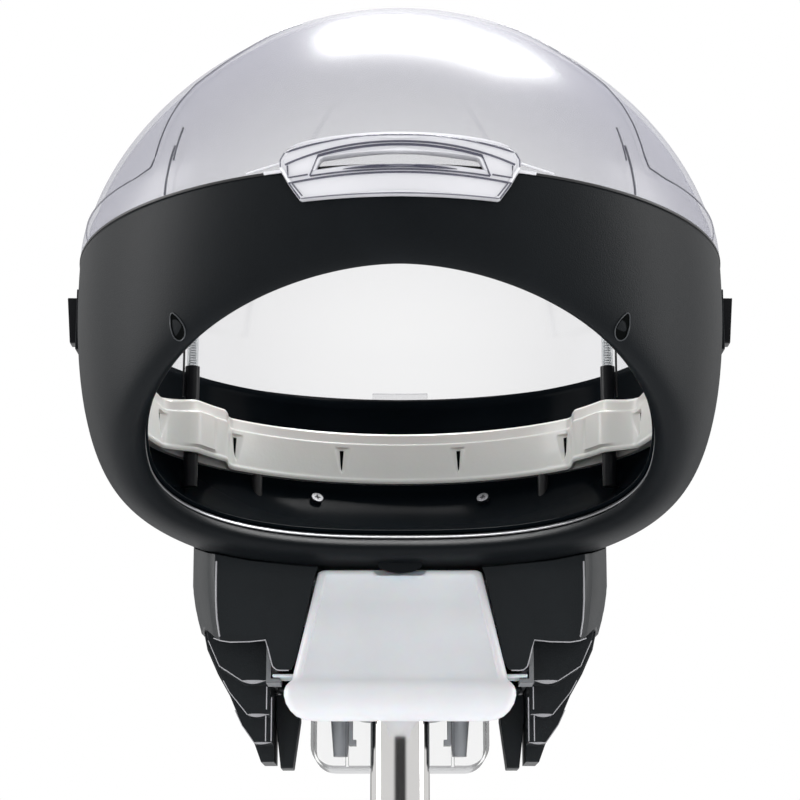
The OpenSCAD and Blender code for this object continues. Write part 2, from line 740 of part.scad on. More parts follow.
module step_block(k, inset) {
    front = louvre_front + k * step_pitch + inset;
    translate([0, louvre_back - inset, side_low_z]) rotate([90, 0, 0])
        linear_extrude(louvre_back - inset - front) polygon(step_outline(k, inset));
}
module louvre_right() color("#1f2023") in_head() difference() {
    union() for (k = [0 : 3]) step_block(k, 0);
    union() for (k = [0 : 3]) step_block(k, louvre_t);
}
module louvre_left() mirror([1, 0, 0]) louvre_right();

// Hood
hood_angles = [for (k = [0 : hood_sides - 1]) k * 360 / hood_sides];
module steam_ports() both_sides() translate([riser[0], riser[1], -hood_drop])
    cylinder(r = pipe_r + seat_gap, h = hood_drop - ring_drop);
module lower_shell() color("#1c1d1f") in_head() {
    at = function(ph, k) mix(share_at(ph, rim_z(ph)), 1, k / shell_rings);
    in_pt = function(ph, k)
        let(p = shell_pt(ph, at(ph, k)), q = p + shell_t * inward(shell_raw, ph, at(ph, k)))
        k == 0 ? [q[0], q[1], p[2]] : q;
    difference() {
        skin([for (ph = hood_angles) [for (k = [0 : shell_rings]) shell_pt(ph, at(ph, k))]],
            [for (ph = hood_angles) [for (k = [0 : shell_rings]) in_pt(ph, k)]]);
        steam_ports();
    }
}
module rim_seal() color("#0c0c0d") in_head() {
    ring = function(inset) [for (ph = hood_angles) let(p = skirt_pt(ph, rim_z(ph), inset))
        [p - [0, 0, seat_gap], p - [0, 0, seal_h - seat_gap]]];
    skin(ring(0), ring(shell_t));
}
module mouth_trim() color("#c9ccd0") in_head() {
    side = function(out) [for (ph = hood_angles)
        let(away = unit(cross(mouth_pt(ph + 1) - mouth_pt(ph - 1), mouth_out)))
        [for (k = [1, 0]) mouth_pt(ph) - away * out - (facet_gap + seat_gap + k * trim_w) * mouth_out]];
    skin(side(trim_t), side(0));
}
module inner_bowl() color("#121316") in_head() difference() {
    skin([for (ph = hood_angles) [for (k = [0 : bowl_rings]) let(t = k / bowl_rings)
            bowl_pt(ph, t) - bowl_t * inward(bowl_pt, ph, t)]],
        [for (ph = hood_angles) [for (k = [0 : bowl_rings]) bowl_pt(ph, k / bowl_rings)]]);
    steam_ports();
}
module hood_dome() color("#c9c9da", 0.45) in_head() {
    low_z = dome_h * pow(sin(dome_last_angle * dip_rows / dome_rings), 2 / dome_rise_power);
    face = function(inset) [for (ph = hood_angles) [for (k = [dome_rings : -1 : 0])
        k < dip_rows ? skirt_pt(ph, mix(rim_z(ph), low_z, k / dip_rows), inset)
            : dome_pt(ph, dome_last_angle * k / dome_rings, inset)]];
    skin(face(0), face(dome_t), cap = true);
}

// Steam ring with tapered slots. Angles are counted from the back.
ring_reach_angle = 104;
slot_step_angle = 29;
slot_half_angle = 1.5;
slot_levels = [0, 0.08, 0.42, 0.84, 0.93, 1];
slot_width_shares = [0, 0, 1, 0.25, 0, 0];
ring_round = 1.5;
function is_slot(k) =
    abs(k) < 3 * slot_step_angle && abs(abs(k) % slot_step_angle - slot_step_angle / 2) < 0.01;
ring_stops = concat([-ring_reach_angle],
    [for (k = [-3 * slot_step_angle : slot_step_angle / 4 : 3 * slot_step_angle])
    each is_slot(k) ? [k - slot_half_angle, k + slot_half_angle] : [k]], [ring_reach_angle]);
function ring_pt(stop, row, inset) =
    let(mid = (round(abs(stop) / slot_step_angle - 0.5) + 0.5) * slot_step_angle,
        near = abs(abs(stop) - mid) <= slot_half_angle * 1.01,
        off = near ? (abs(stop) - mid) * (slot_width_shares[row] > 0 ? slot_width_shares[row] : 1)
            : abs(stop) - mid,
        a = sign(stop) * (mid + off),
        edge = (inset > 0 && (row == 0 || row == len(slot_levels) - 1)) ? -ring_round : 0,
        out = -inset - edge)
    [(ring_half_w + out) * sin(a), (ring_half_d + out) * cos(a),
        -ring_drop - ring_h * slot_levels[row]];
module steam_ring() color("#d8d2c4") in_head() {
    stops = [for (k = [len(ring_stops) - 1 : -1 : 0]) ring_stops[k]];
    rows = len(slot_levels) - 1;
    skin([for (s = stops) [for (k = [0 : rows]) ring_pt(s, k, 0)]],
        [for (s = stops) [for (k = [0 : rows]) ring_pt(s, k, ring_t)]], wrap = false,
        open = function(i, j) j == 2 && i < len(stops) - 1
            && abs(stops[i] - stops[i + 1]) < 2.01 * slot_half_angle);
}
post_turn = atan2(post_y * pow(ring_half_w, 2), post_x * pow(ring_half_d, 2));
module at_posts() {
    both_sides() translate([post_x, post_y, 0]) children();
}
module post_clips() color("#d8d2c4") in_head() at_posts() rotate(post_turn) difference() {
    translate([-clip_d / 2, -clip_w / 2, -ring_drop - ring_h]) cube([clip_d, clip_w, ring_h]);
    translate([0, 0, -ring_drop - ring_h - eps]) cylinder(r = post_r + run_gap, h = ring_h + 2 * eps);
}
post_low = max([for (g = [0 : 45 : 315])
    bowl_z(post_x + post_r * cos(g), post_y + post_r * sin(g))]) + facet_gap;
module post_sleeves() color("#131316") in_head() at_posts() difference() {
    translate([0, 0, post_low]) cylinder(r = post_r, h = post_top - post_low);
    translate([0, 0, post_top - glass_seat]) cylinder(r = glass_r + run_gap, h = glass_seat + eps);
}
module ozone_tubes() color("#e6eef0", 0.5) in_head() at_posts() difference() {
    union() {
        translate([0, 0, post_top - glass_seat])
            cylinder(r = glass_r, h = glass_top + glass_seat - post_top);
        translate([0, 0, glass_top]) sphere(r = glass_r);
    }
    translate([0, 0, post_top - glass_seat - eps])
        cylinder(r = glass_r - glass_t, h = glass_top + glass_seat - post_top + eps);
}
module ozone_electrodes() color("#b9bcc0") in_head() at_posts()
    translate([0, 0, post_top - glass_seat + seat_gap]) difference() {
        cylinder(r = glass_r - glass_t - seat_gap, h = glass_top - post_top + glass_seat / 2);
        translate([0, 0, -eps]) cylinder(r = glass_r - glass_t - seat_gap - mesh_t,
            h = glass_top - post_top + glass_seat);
    }
module ozone_leads() color("#2a2a2c") in_head() at_posts()
    translate([post_r + lead_r + seat_gap, 0, post_top - lead_h / 2]) cylinder(r = lead_r, h = lead_h);
screw_x = 63.5;
screw_z = -119;
screw_start_shares = [163, 0.3];
screw_r = 4.5;
screw_h = 2.4;
module bowl_screws() color("#c9ccd0") in_head() {
    at = solve(bowl_pt, 0, 2, [screw_x, screw_z], screw_start_shares);
    aim = inward(bowl_pt, at[0], at[1]);
    both_sides() translate(bowl_pt(at[0], at[1]) + aim * facet_gap)
        rotate([0, acos(aim[2]), atan2(aim[1], aim[0])]) difference() {
            cylinder(r = screw_r, h = screw_h);
            for (g = [0, 90]) rotate(g) translate([0, 0, screw_h])
                cube([screw_r, screw_r / 4, screw_h], center = true);
        }
}

// Hinge of the dome
rim_back = shell_raw(180, share_at(180, -rim_dip));
hinge_y = rim_back[1] + hinge_gap;
hinge_z = rim_back[2] - hinge_drop;
function back_edge(t) = let(p = shell_raw(180, t)) [p[1] + 1.2 * seat_gap, p[2]];
arm_stops = [for (t = [0.02 : 0.02 : 0.4]) let(e = back_edge(t))
    if (e[1] < hinge_z - arm_foot_h && e[0] > housing_back + seat_gap) e];
arm_low_z = desk_top_z + seat_gap + desk_corner_r / 2;
module hinge_arm() color("#1c1d1f") in_head() difference() {
    union() {
        translate([-ear_half_w, 0, 0]) rotate([90, 0, 90]) linear_extrude(2 * ear_half_w) polygon(concat(
            arm_stops, [[housing_back + seat_gap, under_z(0, housing_back + seat_gap) - 2 * seat_gap],
                [housing_back + seat_gap, arm_low_z], [housing_back + arm_t, arm_low_z],
                [hinge_y + knuckle_r, hinge_z - arm_nose_h],
                [hinge_y + knuckle_r, arm_stops[0][1]]]));
        translate([-ear_half_w, 0, 0]) rotate([90, 0, 90]) linear_extrude(2 * ear_half_w) polygon([
            [hinge_y - knuckle_r, arm_stops[1][1]], [hinge_y + knuckle_r, arm_stops[1][1]],
            [hinge_y + knuckle_r, hinge_z], [hinge_y - knuckle_r, hinge_z]]);
        translate([-ear_half_w, hinge_y, hinge_z]) rotate([0, 90, 0])
            cylinder(r = knuckle_r, h = 2 * ear_half_w);
    }
    translate([-leaf_half_w - seat_gap, hinge_y - 2 * knuckle_r, hinge_z - knuckle_r - eps])
        cube([2 * leaf_half_w + 2 * seat_gap, 4 * knuckle_r, 4 * knuckle_r]);
    translate([-ear_half_w - eps, hinge_y, hinge_z]) rotate([0, 90, 0])
        cylinder(r = hinge_pin_r + run_gap, h = 2 * ear_half_w + 2 * eps);
}
module hinge_pin() color("#c9ccd0") in_head() translate([-ear_half_w - eps, hinge_y, hinge_z])
    rotate([0, 90, 0]) cylinder(r = hinge_pin_r, h = 2 * ear_half_w + 2 * eps);

// Handle of the dome, and the leaf that the dome hangs on at the back
module handle_outline() {
    polygon(concat(
        [[-handle_half_w, slot_low], [-flap_half_w - handle_corner_r, flap_top]],
        [[-flap_half_w, handle_low], [flap_half_w, handle_low]],
        [[flap_half_w + handle_corner_r, flap_top], [handle_half_w, slot_low]],
        [for (k = [0 : 12]) let(g = 15 * k)
            [handle_bar_half_w * sgnpow(cos(g), 0.7),
                slot_top + (handle_top - slot_top) * pow(sin(g), 0.8)]]));
}
module hinge_leaf() color("#1c1d1f") in_head() {
    difference() {
        union() {
            translate([-leaf_half_w, hinge_y, hinge_z]) rotate([0, 90, 0])
                cylinder(r = knuckle_r, h = 2 * leaf_half_w);
            translate([-leaf_half_w, 0, 0]) rotate([90, 0, 90]) linear_extrude(2 * leaf_half_w) polygon([
                [rim_back[1] - leaf_t, rim_back[2] + seal_h],
                [rim_back[1] - leaf_t, rim_back[2] + seal_h + leaf_h],
                [rim_back[1] + leaf_t, rim_back[2] + seal_h + leaf_h],
                [hinge_y + knuckle_r * 0.7, hinge_z + knuckle_r * 0.7],
                [hinge_y - knuckle_r * 0.8, hinge_z - knuckle_r * 0.2]]);
        }
        translate([0, rim_back[1] - handle_curve_r + seat_gap, rim_back[2] - handle_half_w])
            cylinder(r = handle_curve_r, h = 2 * handle_half_w, $fn = 180);
        translate([-2 * leaf_half_w, hinge_y, hinge_z]) rotate([0, 90, 0])
            cylinder(r = hinge_pin_r + run_gap, h = 4 * leaf_half_w);
    }
}
module dome_handle() color("#d8d8e2", 0.7) in_head() {
    difference() {
        intersection() {
            translate([0, handle_curve_r - rim_half_d, handle_low])
                cylinder(r = handle_curve_r + handle_t, h = handle_top - handle_low, $fn = 180);
            translate([0, -rim_half_d + handle_half_w, 0]) rotate([90, 0, 0])
                linear_extrude(handle_half_w + 2 * handle_t) handle_outline();
        }
        translate([0, handle_curve_r - rim_half_d, handle_low - eps])
            cylinder(r = handle_curve_r + seat_gap, h = 2 * handle_half_w, $fn = 180);
        translate([0, handle_curve_r - rim_half_d, handle_low - eps])
            cylinder(r = handle_curve_r + flap_gap, h = seal_h - handle_low + eps, $fn = 180);
        translate([0, 0, (slot_low + slot_top) / 2]) rotate([90, 0, 0])
            linear_extrude(2 * rim_half_d) polygon(
                round_box(slot_half_w, (slot_top - slot_low) / 2, slot_end_r * 0.9));
    }
}

// Side catches of the dome: each has a fixed plate and a sliding catch
module latch_plates() color("#1c1d1f") in_head() both_sides()
    translate([latch_x - seat_gap - latch_plate_t, -latch_plate_half_w, latch_top - latch_h - latch_travel])
        cube([latch_plate_t, 2 * latch_plate_half_w, latch_h + 2 * latch_travel]);
module latch_left() mirror([1, 0, 0]) latch_right();
module latch_right() color("#1c1d1f") in_head()
    translate([latch_x, latch_half_w, 0]) rotate([90, 0, 0]) linear_extrude(2 * latch_half_w) polygon([
        [0, latch_top], [latch_t, latch_top],
        [latch_tip_t, latch_top - latch_h], [0, latch_top - latch_h]]);

// Steam, water and ozone
module boiler() color("#a9adb2") in_head() translate([0, boiler_y, floor_z]) difference() {
    cylinder(r = boiler_r, h = boiler_h, $fn = 72);
    translate([0, 0, boiler_t]) cylinder(r = boiler_r - boiler_t, h = boiler_h, $fn = 72);
}
module boiler_lid() color("#8d9095") in_head() translate([0, boiler_y, floor_z + boiler_h])
    cylinder(r = boiler_r + lid_lap, h = lid_t, $fn = 72);
module heating_element() color("#6f6a64") in_head() translate([0, boiler_y, floor_z + boiler_t]) {
    translate([0, 0, element_h]) rotate_extrude() translate([element_r, 0]) circle(r = element_wire_r);
    for (side = [-1, 1]) translate([side * element_r, 0, seat_gap])
        cylinder(r = element_wire_r * 0.7, h = element_h);
}
module thermostat() color("#b9b3a4") in_head() translate([0, boiler_y, floor_z + boiler_h + lid_t])
    cylinder(r = thermostat_r, h = thermostat_h);
module feed_pipe() color("#d9dad6") in_head() {
    port = [cos(feed_port_angle), sin(feed_port_angle)];
    bend = valve_x / port[0];
    rod([[valve_x, tank_back + valve_len + seat_gap, valve_z],
        [valve_x, boiler_y + port[1] * bend, valve_z],
        [port[0] * (boiler_r + seat_gap), boiler_y + port[1] * (boiler_r + seat_gap), valve_z]],
        feed_r);
}
module steam_pipes() color("#1b1c1e") in_head() both_sides() {
    level = floor_z + boiler_h - 2 * pipe_r;
    port = [cos(pipe_port_angle), sin(pipe_port_angle)];
    bend = (riser[1] - boiler_y) / port[1];
    rod([[port[0] * (boiler_r + seat_gap), boiler_y + port[1] * (boiler_r + seat_gap), level],
        [port[0] * bend, riser[1], level], [riser[0], riser[1], level],
        [riser[0], riser[1], -ring_drop - ring_h - seat_gap]], pipe_r);
}
module ozone_unit() color("#2f4a63") in_head()
    translate([-unit_x - unit_w, unit_y, side_low_z - unit_h / 2]) cube([unit_w, unit_l, unit_h]);
module control_board() color("#2c6b45") in_head() {
    x = frame_half_w + board_gap;
    translate([x, unit_y, deck_z - board_low]) cube([board_t, board_l, board_h]);
    for (end = [0.1, 0.9]) translate([frame_half_w + seat_gap, unit_y + board_l * end, deck_z - side_h / 2])
        rotate([0, 90, 0]) cylinder(r = 2 * board_t, h = board_gap);
}

// Controls on the back
desk_y = housing_back + seat_gap;
module at_desk(x, drop) {
    translate([x, desk_y + desk_t, desk_top_z - drop]) facing_back() children();
}
module control_panel() color("#2c2e31") in_head() difference() {
    translate([0, desk_y, desk_top_z - desk_h / 2]) facing_back()
        linear_extrude(desk_t) polygon(round_box(desk_half_w, desk_h / 2, desk_corner_r));
    at_desk(0, dial_drop) translate([0, 0, -dial_shaft_len - eps])
        cylinder(r = dial_shaft_r + run_gap, h = dial_shaft_len + 2 * eps);
    for (side = [-1, 1]) at_desk(side * rocker_x, rocker_drop) {
        translate([-rocker_half_w - seat_gap, -rocker_half_l - 4 * seat_gap, -desk_t + cover_t])
            cube([2 * rocker_half_w + 2 * seat_gap, 2 * rocker_half_l + 8 * seat_gap, desk_t]);
        translate([0, 0, -rocker_depth]) rotate([0, 90, 0])
            cylinder(r = rocker_pin_r + run_gap, h = 2 * (rocker_half_w + rocker_pin_len + seat_gap),
                center = true);
    }
}
module rocker(x) {
    at_desk(x, rocker_drop) translate([0, 0, -rocker_depth]) rotate([rocker_tilt, 0, 0]) {
        translate([-rocker_half_w, 0, 0]) rotate([90, 0, 90]) linear_extrude(2 * rocker_half_w) polygon([
            [-rocker_half_l, -rocker_t / 2], [rocker_half_l, -rocker_t / 2],
            [rocker_half_l, rocker_t / 2 + rocker_pin_r], [0, rocker_t / 2],
            [-rocker_half_l, rocker_t / 2 + rocker_pin_r]]);
        rotate([0, 90, 0])
            cylinder(r = rocker_pin_r, h = 2 * (rocker_half_w + rocker_pin_len), center = true);
    }
}
module power_switch() color("#141416") in_head() rocker(-rocker_x);
module ozone_switch() color("#141416") in_head() rocker(rocker_x);
module timer_knob() color("#d9dadc") in_head() at_desk(0, dial_drop) {
    translate([0, 0, -dial_shaft_len]) cylinder(r = dial_shaft_r, h = dial_shaft_len + dial_h / 2);
    translate([0, 0, seat_gap]) cylinder(r = dial_r, h = dial_h, $fn = 72);
}
module indicator_lamps() color("#c8402e") in_head() for (side = [-1, 1]) at_desk(side * rocker_x, dial_drop)
    cylinder(r1 = lamp_r, r2 = lamp_r * 0.7, h = lamp_h);
module mains_inlet() color("#17181a") in_head() translate([inlet_x, inlet_y, floor_z - floor_t]) {
    difference() {
        union() {
            translate([-inlet_w / 2, -inlet_d / 2, -inlet_flange_t]) cube([inlet_w, inlet_d, inlet_h]);
            translate([-inlet_w / 2 - inlet_flange, -inlet_d / 2 - inlet_flange, -inlet_flange_t])
                cube([inlet_w + 2 * inlet_flange, inlet_d + 2 * inlet_flange, inlet_flange_t]);
        }
        translate([-inlet_w / 2 + inlet_wall, -inlet_d / 2 + inlet_wall, -inlet_flange_t - eps])
            cube([inlet_w - 2 * inlet_wall, inlet_d - 2 * inlet_wall, inlet_h - inlet_wall + eps]);
    }
    for (k = [-1 : 1])
        translate([k * inlet_pin_step, 0, inlet_h - inlet_wall - inlet_flange_t - inlet_pin_len / 2])
        cube([inlet_pin_t, inlet_pin_w, inlet_pin_len + eps / 2], center = true);
}

// Drip cup with what hangs over it
module drain_spouts() color("#85898e") in_head() both_sides()
    translate([spout_x, cup_front + cup_d / 2, floor_z - floor_t - spout_h])
        cylinder(r1 = spout_tip_r, r2 = spout_top_r, h = spout_h);
module cup_hooks() color("#6f7378") in_head() both_sides()
    translate([hook_x, cup_front + hook_setback, floor_z - floor_t - hook_h]) {
        cube([hook_t, hook_w, hook_h]);
        translate([-hook_t, 0, 0]) cube([2 * hook_t, hook_w, hook_toe]);
    }
module cup_guides() color("#222326") in_head() both_sides()
    translate([0, guide_front + guide_d, floor_z - floor_t]) rotate([90, 0, 0]) linear_extrude(guide_d)
        polygon([[frame_half_w, 0], [frame_half_w, -guide_h / 3], [frame_half_w - guide_taper, -guide_h],
            [frame_half_w - guide_tip_w, -guide_h], [frame_half_w - guide_w, -guide_h / 3],
            [frame_half_w - guide_w + eps, 0]]);
module cup_outline(inset) {
    w = cup_half_w - inset;
    r = cup_corner_r - inset;
    polygon(concat([[-w, cup_h + (inset > 0 ? eps : 0)]], arc([r - w, r + inset], r, 180, 270),
        arc([w - r, r + inset], r, 270, 360), [[w, cup_h + (inset > 0 ? eps : 0)]]));
}
module drip_cup() color("#dfe6ea", 0.45) in_head() {
    both_sides() translate([hook_x + hook_t + seat_gap, cup_front + cup_t / 2, cup_low_z + cup_t / 2])
        cube([cup_t, hook_w + hook_setback, cup_h * 0.64]);
    difference() {
    translate([0, cup_front + cup_d, cup_low_z]) rotate([90, 0, 0]) linear_extrude(cup_d) cup_outline(0);
    translate([0, cup_front + cup_d - cup_t, cup_low_z]) rotate([90, 0, 0])
        linear_extrude(cup_d - 2 * cup_t) cup_outline(cup_t);
    }
}

// Water tank
function tank_face(inset) =
    let(w = tank_half_w - inset, r = tank_corner_r - inset, low = tank_low_z + inset,
        top_w = tank_top_half_w - inset * 1.1)
    concat([[top_w, tank_top_z - inset], [-top_w, tank_top_z - inset], [-w, tank_lip_z]],
        arc([r - w, low + r], r, 180, 270), arc([w - r, low + r], r, 270, 360), [[w, tank_lip_z]]);
function tank_side(inset) =
    let(front = inset - tank_reach, low = tank_low_z + inset, back = tank_back - inset, r = tank_front_r)
    concat([[back, low], [back, tank_top_z - inset], [inset - tank_top_reach, tank_top_z - inset],
        [inset - tank_face_reach, tank_lip_z], [front, tank_lip_z - tank_ledge_drop]],
        arc([front + r, low + r], r, 180, 270));
module tank_block(inset) {
    intersection() {
        translate([0, 2 * tank_reach, 0]) rotate([90, 0, 0]) linear_extrude(4 * tank_reach)
            polygon(tank_face(inset));
        translate([-2 * tank_half_w, 0, 0]) rotate([90, 0, 90]) linear_extrude(4 * tank_half_w)
            polygon(tank_side(inset));
    }
}
module water_tank() color("#dfe7ea", 0.7) in_head() {
    difference() {
        tank_block(0);
        tank_block(tank_t);
        translate([-tank_fill_half_w, -2 * tank_reach, tank_top_z - tank_fill_drop])
            cube([2 * tank_fill_half_w, 2 * tank_reach + tank_back - 2 * tank_t, tank_fill_drop + eps]);
    }
    both_sides() translate([tank_half_w, tank_rib_front, tank_rib_z])
        cube([frame_half_w - frame_t - seat_gap - tank_half_w, tank_back - tank_rib_front, tank_rib_t]);
    translate([valve_x, tank_back, valve_z]) rotate([-90, 0, 0]) cylinder(r = valve_r, h = valve_len);
}

base_star();
lower_tube();
height_collar();
height_knob();
castor_fork(1);  // castor_fork_1
castor_fork(2);  // castor_fork_2
castor_fork(3);  // castor_fork_3
castor_fork(4);  // castor_fork_4
castor_fork(5);  // castor_fork_5
castor_wheels(1);  // castor_wheels_1
castor_wheels(2);  // castor_wheels_2
castor_wheels(3);  // castor_wheels_3
castor_wheels(4);  // castor_wheels_4
castor_wheels(5);  // castor_wheels_5
upper_tube();
chassis();
side_cover_left();
side_cover_right();
rear_housing();
base_plate();
louvre_left();
louvre_right();
lower_shell();
rim_seal();
mouth_trim();
inner_bowl();
steam_ring();
post_clips();
post_sleeves();
ozone_tubes();
ozone_electrodes();
ozone_leads();
bowl_screws();
hinge_arm();
hinge_pin();
boiler();
boiler_lid();
heating_element();
thermostat();
feed_pipe();
steam_pipes();
ozone_unit();
control_board();
control_panel();
indicator_lamps();
timer_knob();
power_switch();
ozone_switch();
mains_inlet();
drain_spouts();
cup_hooks();
cup_guides();
water_tank();
drip_cup();
hood_dome();
dome_handle();
hinge_leaf();
latch_plates();
latch_left();
latch_right();
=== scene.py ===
import bpy, bmesh, json, math
import numpy as np
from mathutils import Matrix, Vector


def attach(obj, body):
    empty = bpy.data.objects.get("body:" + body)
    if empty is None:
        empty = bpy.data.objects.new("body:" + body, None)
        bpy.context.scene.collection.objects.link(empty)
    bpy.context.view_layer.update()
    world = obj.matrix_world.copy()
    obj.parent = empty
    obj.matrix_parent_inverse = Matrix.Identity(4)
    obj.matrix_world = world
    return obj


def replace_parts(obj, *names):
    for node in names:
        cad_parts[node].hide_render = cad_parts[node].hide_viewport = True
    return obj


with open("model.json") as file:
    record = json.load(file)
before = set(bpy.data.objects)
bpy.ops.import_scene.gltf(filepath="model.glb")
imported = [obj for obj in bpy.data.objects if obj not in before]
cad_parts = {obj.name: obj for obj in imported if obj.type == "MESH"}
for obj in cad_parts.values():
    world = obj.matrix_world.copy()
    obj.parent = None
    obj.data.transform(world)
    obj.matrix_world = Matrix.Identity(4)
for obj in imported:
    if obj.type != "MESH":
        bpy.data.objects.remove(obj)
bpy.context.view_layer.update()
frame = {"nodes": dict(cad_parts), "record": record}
NODES = frame["nodes"]

# The hood's frame: origin at the centre of the rim, in millimetres.
LEG_REACH, LEG_HALF_W, LEG_ANGLE = 341, 19, math.radians(54)
MAST_BEHIND, RIM_HEIGHT = 52, 1400.0
MAST_Y = (LEG_REACH - (LEG_REACH * math.sin(LEG_ANGLE) + LEG_HALF_W * math.cos(LEG_ANGLE))) / 2
HY, HZ = MAST_Y - MAST_BEHIND, RIM_HEIGHT


def G(p):
    """From the hood's frame to metres in the shared frame."""
    p = np.asarray(p, float)
    return (p + np.array([0, HY, HZ])) / 1000


# Camera, solved from the outlines: it stands in front of the face opening and looks up
CAM_LENS = 99
CAM_PLACE = (0, -1455, -416)
CAM_PITCH = 12.85
cam = bpy.data.cameras.new("camera")
cam.lens, cam.sensor_width, cam.sensor_fit = CAM_LENS, 36, "HORIZONTAL"
cam_ob = bpy.data.objects.new("camera", cam)
cam_ob.location = G(CAM_PLACE)
cam_ob.rotation_euler = (math.radians(90 + CAM_PITCH), 0, 0)
bpy.context.scene.collection.objects.link(cam_ob)
bpy.context.scene.camera = cam_ob


# Surfaces, as in the CAD source
W, D, DOME_H = 217.0, 241.0, 177.7
SHELL_T, BOWL_T, DOME_T, SEAL_H = 3, 2.5, 3, 1.6
DOME_WIDTH_POWER, DOME_HEIGHT_POWER = 1.84, 1.72
RIM_DIP, DIP_START, DIP_SPAN = 31, 90, 28
BOWL_IN_W, BOWL_IN_D, BOWL_DROP = 27, 20, 35
BOWL_PUSH = 4 + 1.8 + 0.3 + 2.5

# The face opening: (y, z) of its upper and lower ends, its half width, how its length splits at the widest
# place, and the powers of its two outlines
TOP, LOW = np.array([-231.0, -55.0]), np.array([-25.0, -184.0])
MOUTH_HALF_W, MOUTH_UP, MOUTH_DOWN = 160, 0.64, 0.36
MOUTH_UP_POWER, MOUTH_DOWN_POWER = 1.85, 2.6
ML = np.linalg.norm(LOW - TOP)
V = (LOW - TOP) / ML
N = np.array([V[1], -V[0]])


def sp(v, e):
    """Power that keeps the sign."""
    return np.sign(v) * np.abs(v) ** e


def smoothstep(x):
    """Soft step from 0 to 1."""
    x = np.clip(x, 0, 1)
    return x * x * (3 - 2 * x)


def mouth(ph, push=0.0):
    """Edge of the face opening at angle ph, 0 in front, pushed in along its normal."""
    s, c = np.sin(ph), np.cos(ph)
    half = ML * np.where(c >= 0, MOUTH_UP, MOUTH_DOWN)
    e = 2 / np.where(c >= 0, MOUTH_UP_POWER, MOUTH_DOWN_POWER)
    al = ML * MOUTH_UP - half * sp(c, e)
    y = TOP[0] + V[0] * al - push * N[0]
    z = TOP[1] + V[1] * al - push * N[1]
    return np.stack([MOUTH_HALF_W * sp(s, e), y, z], -1)


def bez(a, b, c, d, t):
    """Cubic Bezier curve."""
    t = t[..., None]
    return (1 - t) ** 3 * a + 3 * t * (1 - t) ** 2 * b + 3 * t * t * (1 - t) * c + t ** 3 * d


def shell(ph, t):
    """Outside of the lower shell, from the rim at t = 0 to the face opening at t = 1."""
    s, c = np.sin(ph), np.cos(ph)
    u = (1 - c) / 2
    z = 0 * s
    rim = np.stack([W * s, -D * c, z], -1)
    e = mouth(ph)
    bu, ro, sl = 4 + 24 * u ** 4, 16 + 42 * u, 4 - 36 * u
    a = rim + np.stack([s * bu, -c * bu, -(20 + 202 * u)], -1)
    b = e + np.stack([s * sl * 0.6 + 30 * s * abs(s),
                      ro * N[0] - V[0] * c * sl,
                      ro * N[1] - V[1] * c * sl], -1)
    return bez(rim, a, b, e, t)


def bowl(ph, t):
    """Inside of the liner."""
    s, c = np.sin(ph), np.cos(ph)
    u = (1 - c) / 2
    rim = np.stack([(W - BOWL_IN_W) * s, -(D - BOWL_IN_D) * c, -BOWL_DROP + 0 * s], -1)
    e = mouth(ph, BOWL_PUSH)
    bu, ro, sl = 22 * u * u, 16 * u * u - 2, 60 * u
    a = rim + np.stack([s * bu, -c * bu, -(8 + 142 * u)], -1)
    b = e + np.stack([14 * s * abs(s), ro * N[0] - V[0] * c * sl, ro * N[1]], -1)
    return bez(rim, a, b, e, t)


def dome(ph, rise, off=0.0):
    """Outside of the dome at angle ph and rise, off outwards."""
    r = np.cos(rise) ** (2 / DOME_WIDTH_POWER)
    z = SEAL_H + (DOME_H + off) * np.sin(rise) ** (2 / DOME_HEIGHT_POWER)
    return np.stack([(W + off) * np.sin(ph) * r, -(D + off) * np.cos(ph) * r, z], -1)


def rim_z(ph):
    """Height of the rim, which dips towards the back."""
    q = np.clip((np.degrees(np.arccos(np.clip(np.cos(ph), -1, 1))) - DIP_START) / DIP_SPAN, 0, 1)
    return -RIM_DIP * q * q * (3 - 2 * q)


def share_at(ph, z):
    """Share t along the shell's section where it is at height z."""
    lo, hi = np.zeros_like(ph), np.full_like(ph, 0.5)
    for _ in range(22):
        mid = (lo + hi) / 2
        above = shell(ph, mid)[..., 2] > z
        lo, hi = np.where(above, mid, lo), np.where(above, hi, mid)
    return np.where(z >= 0, 0, (lo + hi) / 2)


def normal(f, ph, t):
    """Unit normal of the surface f(ph, t)."""
    da, dt = 0.004, 0.002
    du = f(ph + da, t) - f(ph - da, t)
    dv = f(ph, np.minimum(t + dt, 1.0)) - f(ph, np.maximum(t - dt, 0.0))
    n = np.cross(du, dv)
    return n / np.maximum(np.linalg.norm(n, axis=-1, keepdims=True), 1e-9)


# Materials
ROUGH_VARY = 0.06


def map_range(nt, to, span=(0.0, 1.0), soft=False):
    """Map Range node from span to the two values in to."""
    node = nt.nodes.new("ShaderNodeMapRange")
    if soft:
        node.interpolation_type = "SMOOTHSTEP"
    node.inputs["From Min"].default_value, node.inputs["From Max"].default_value = span
    node.inputs["To Min"].default_value, node.inputs["To Max"].default_value = to
    return node


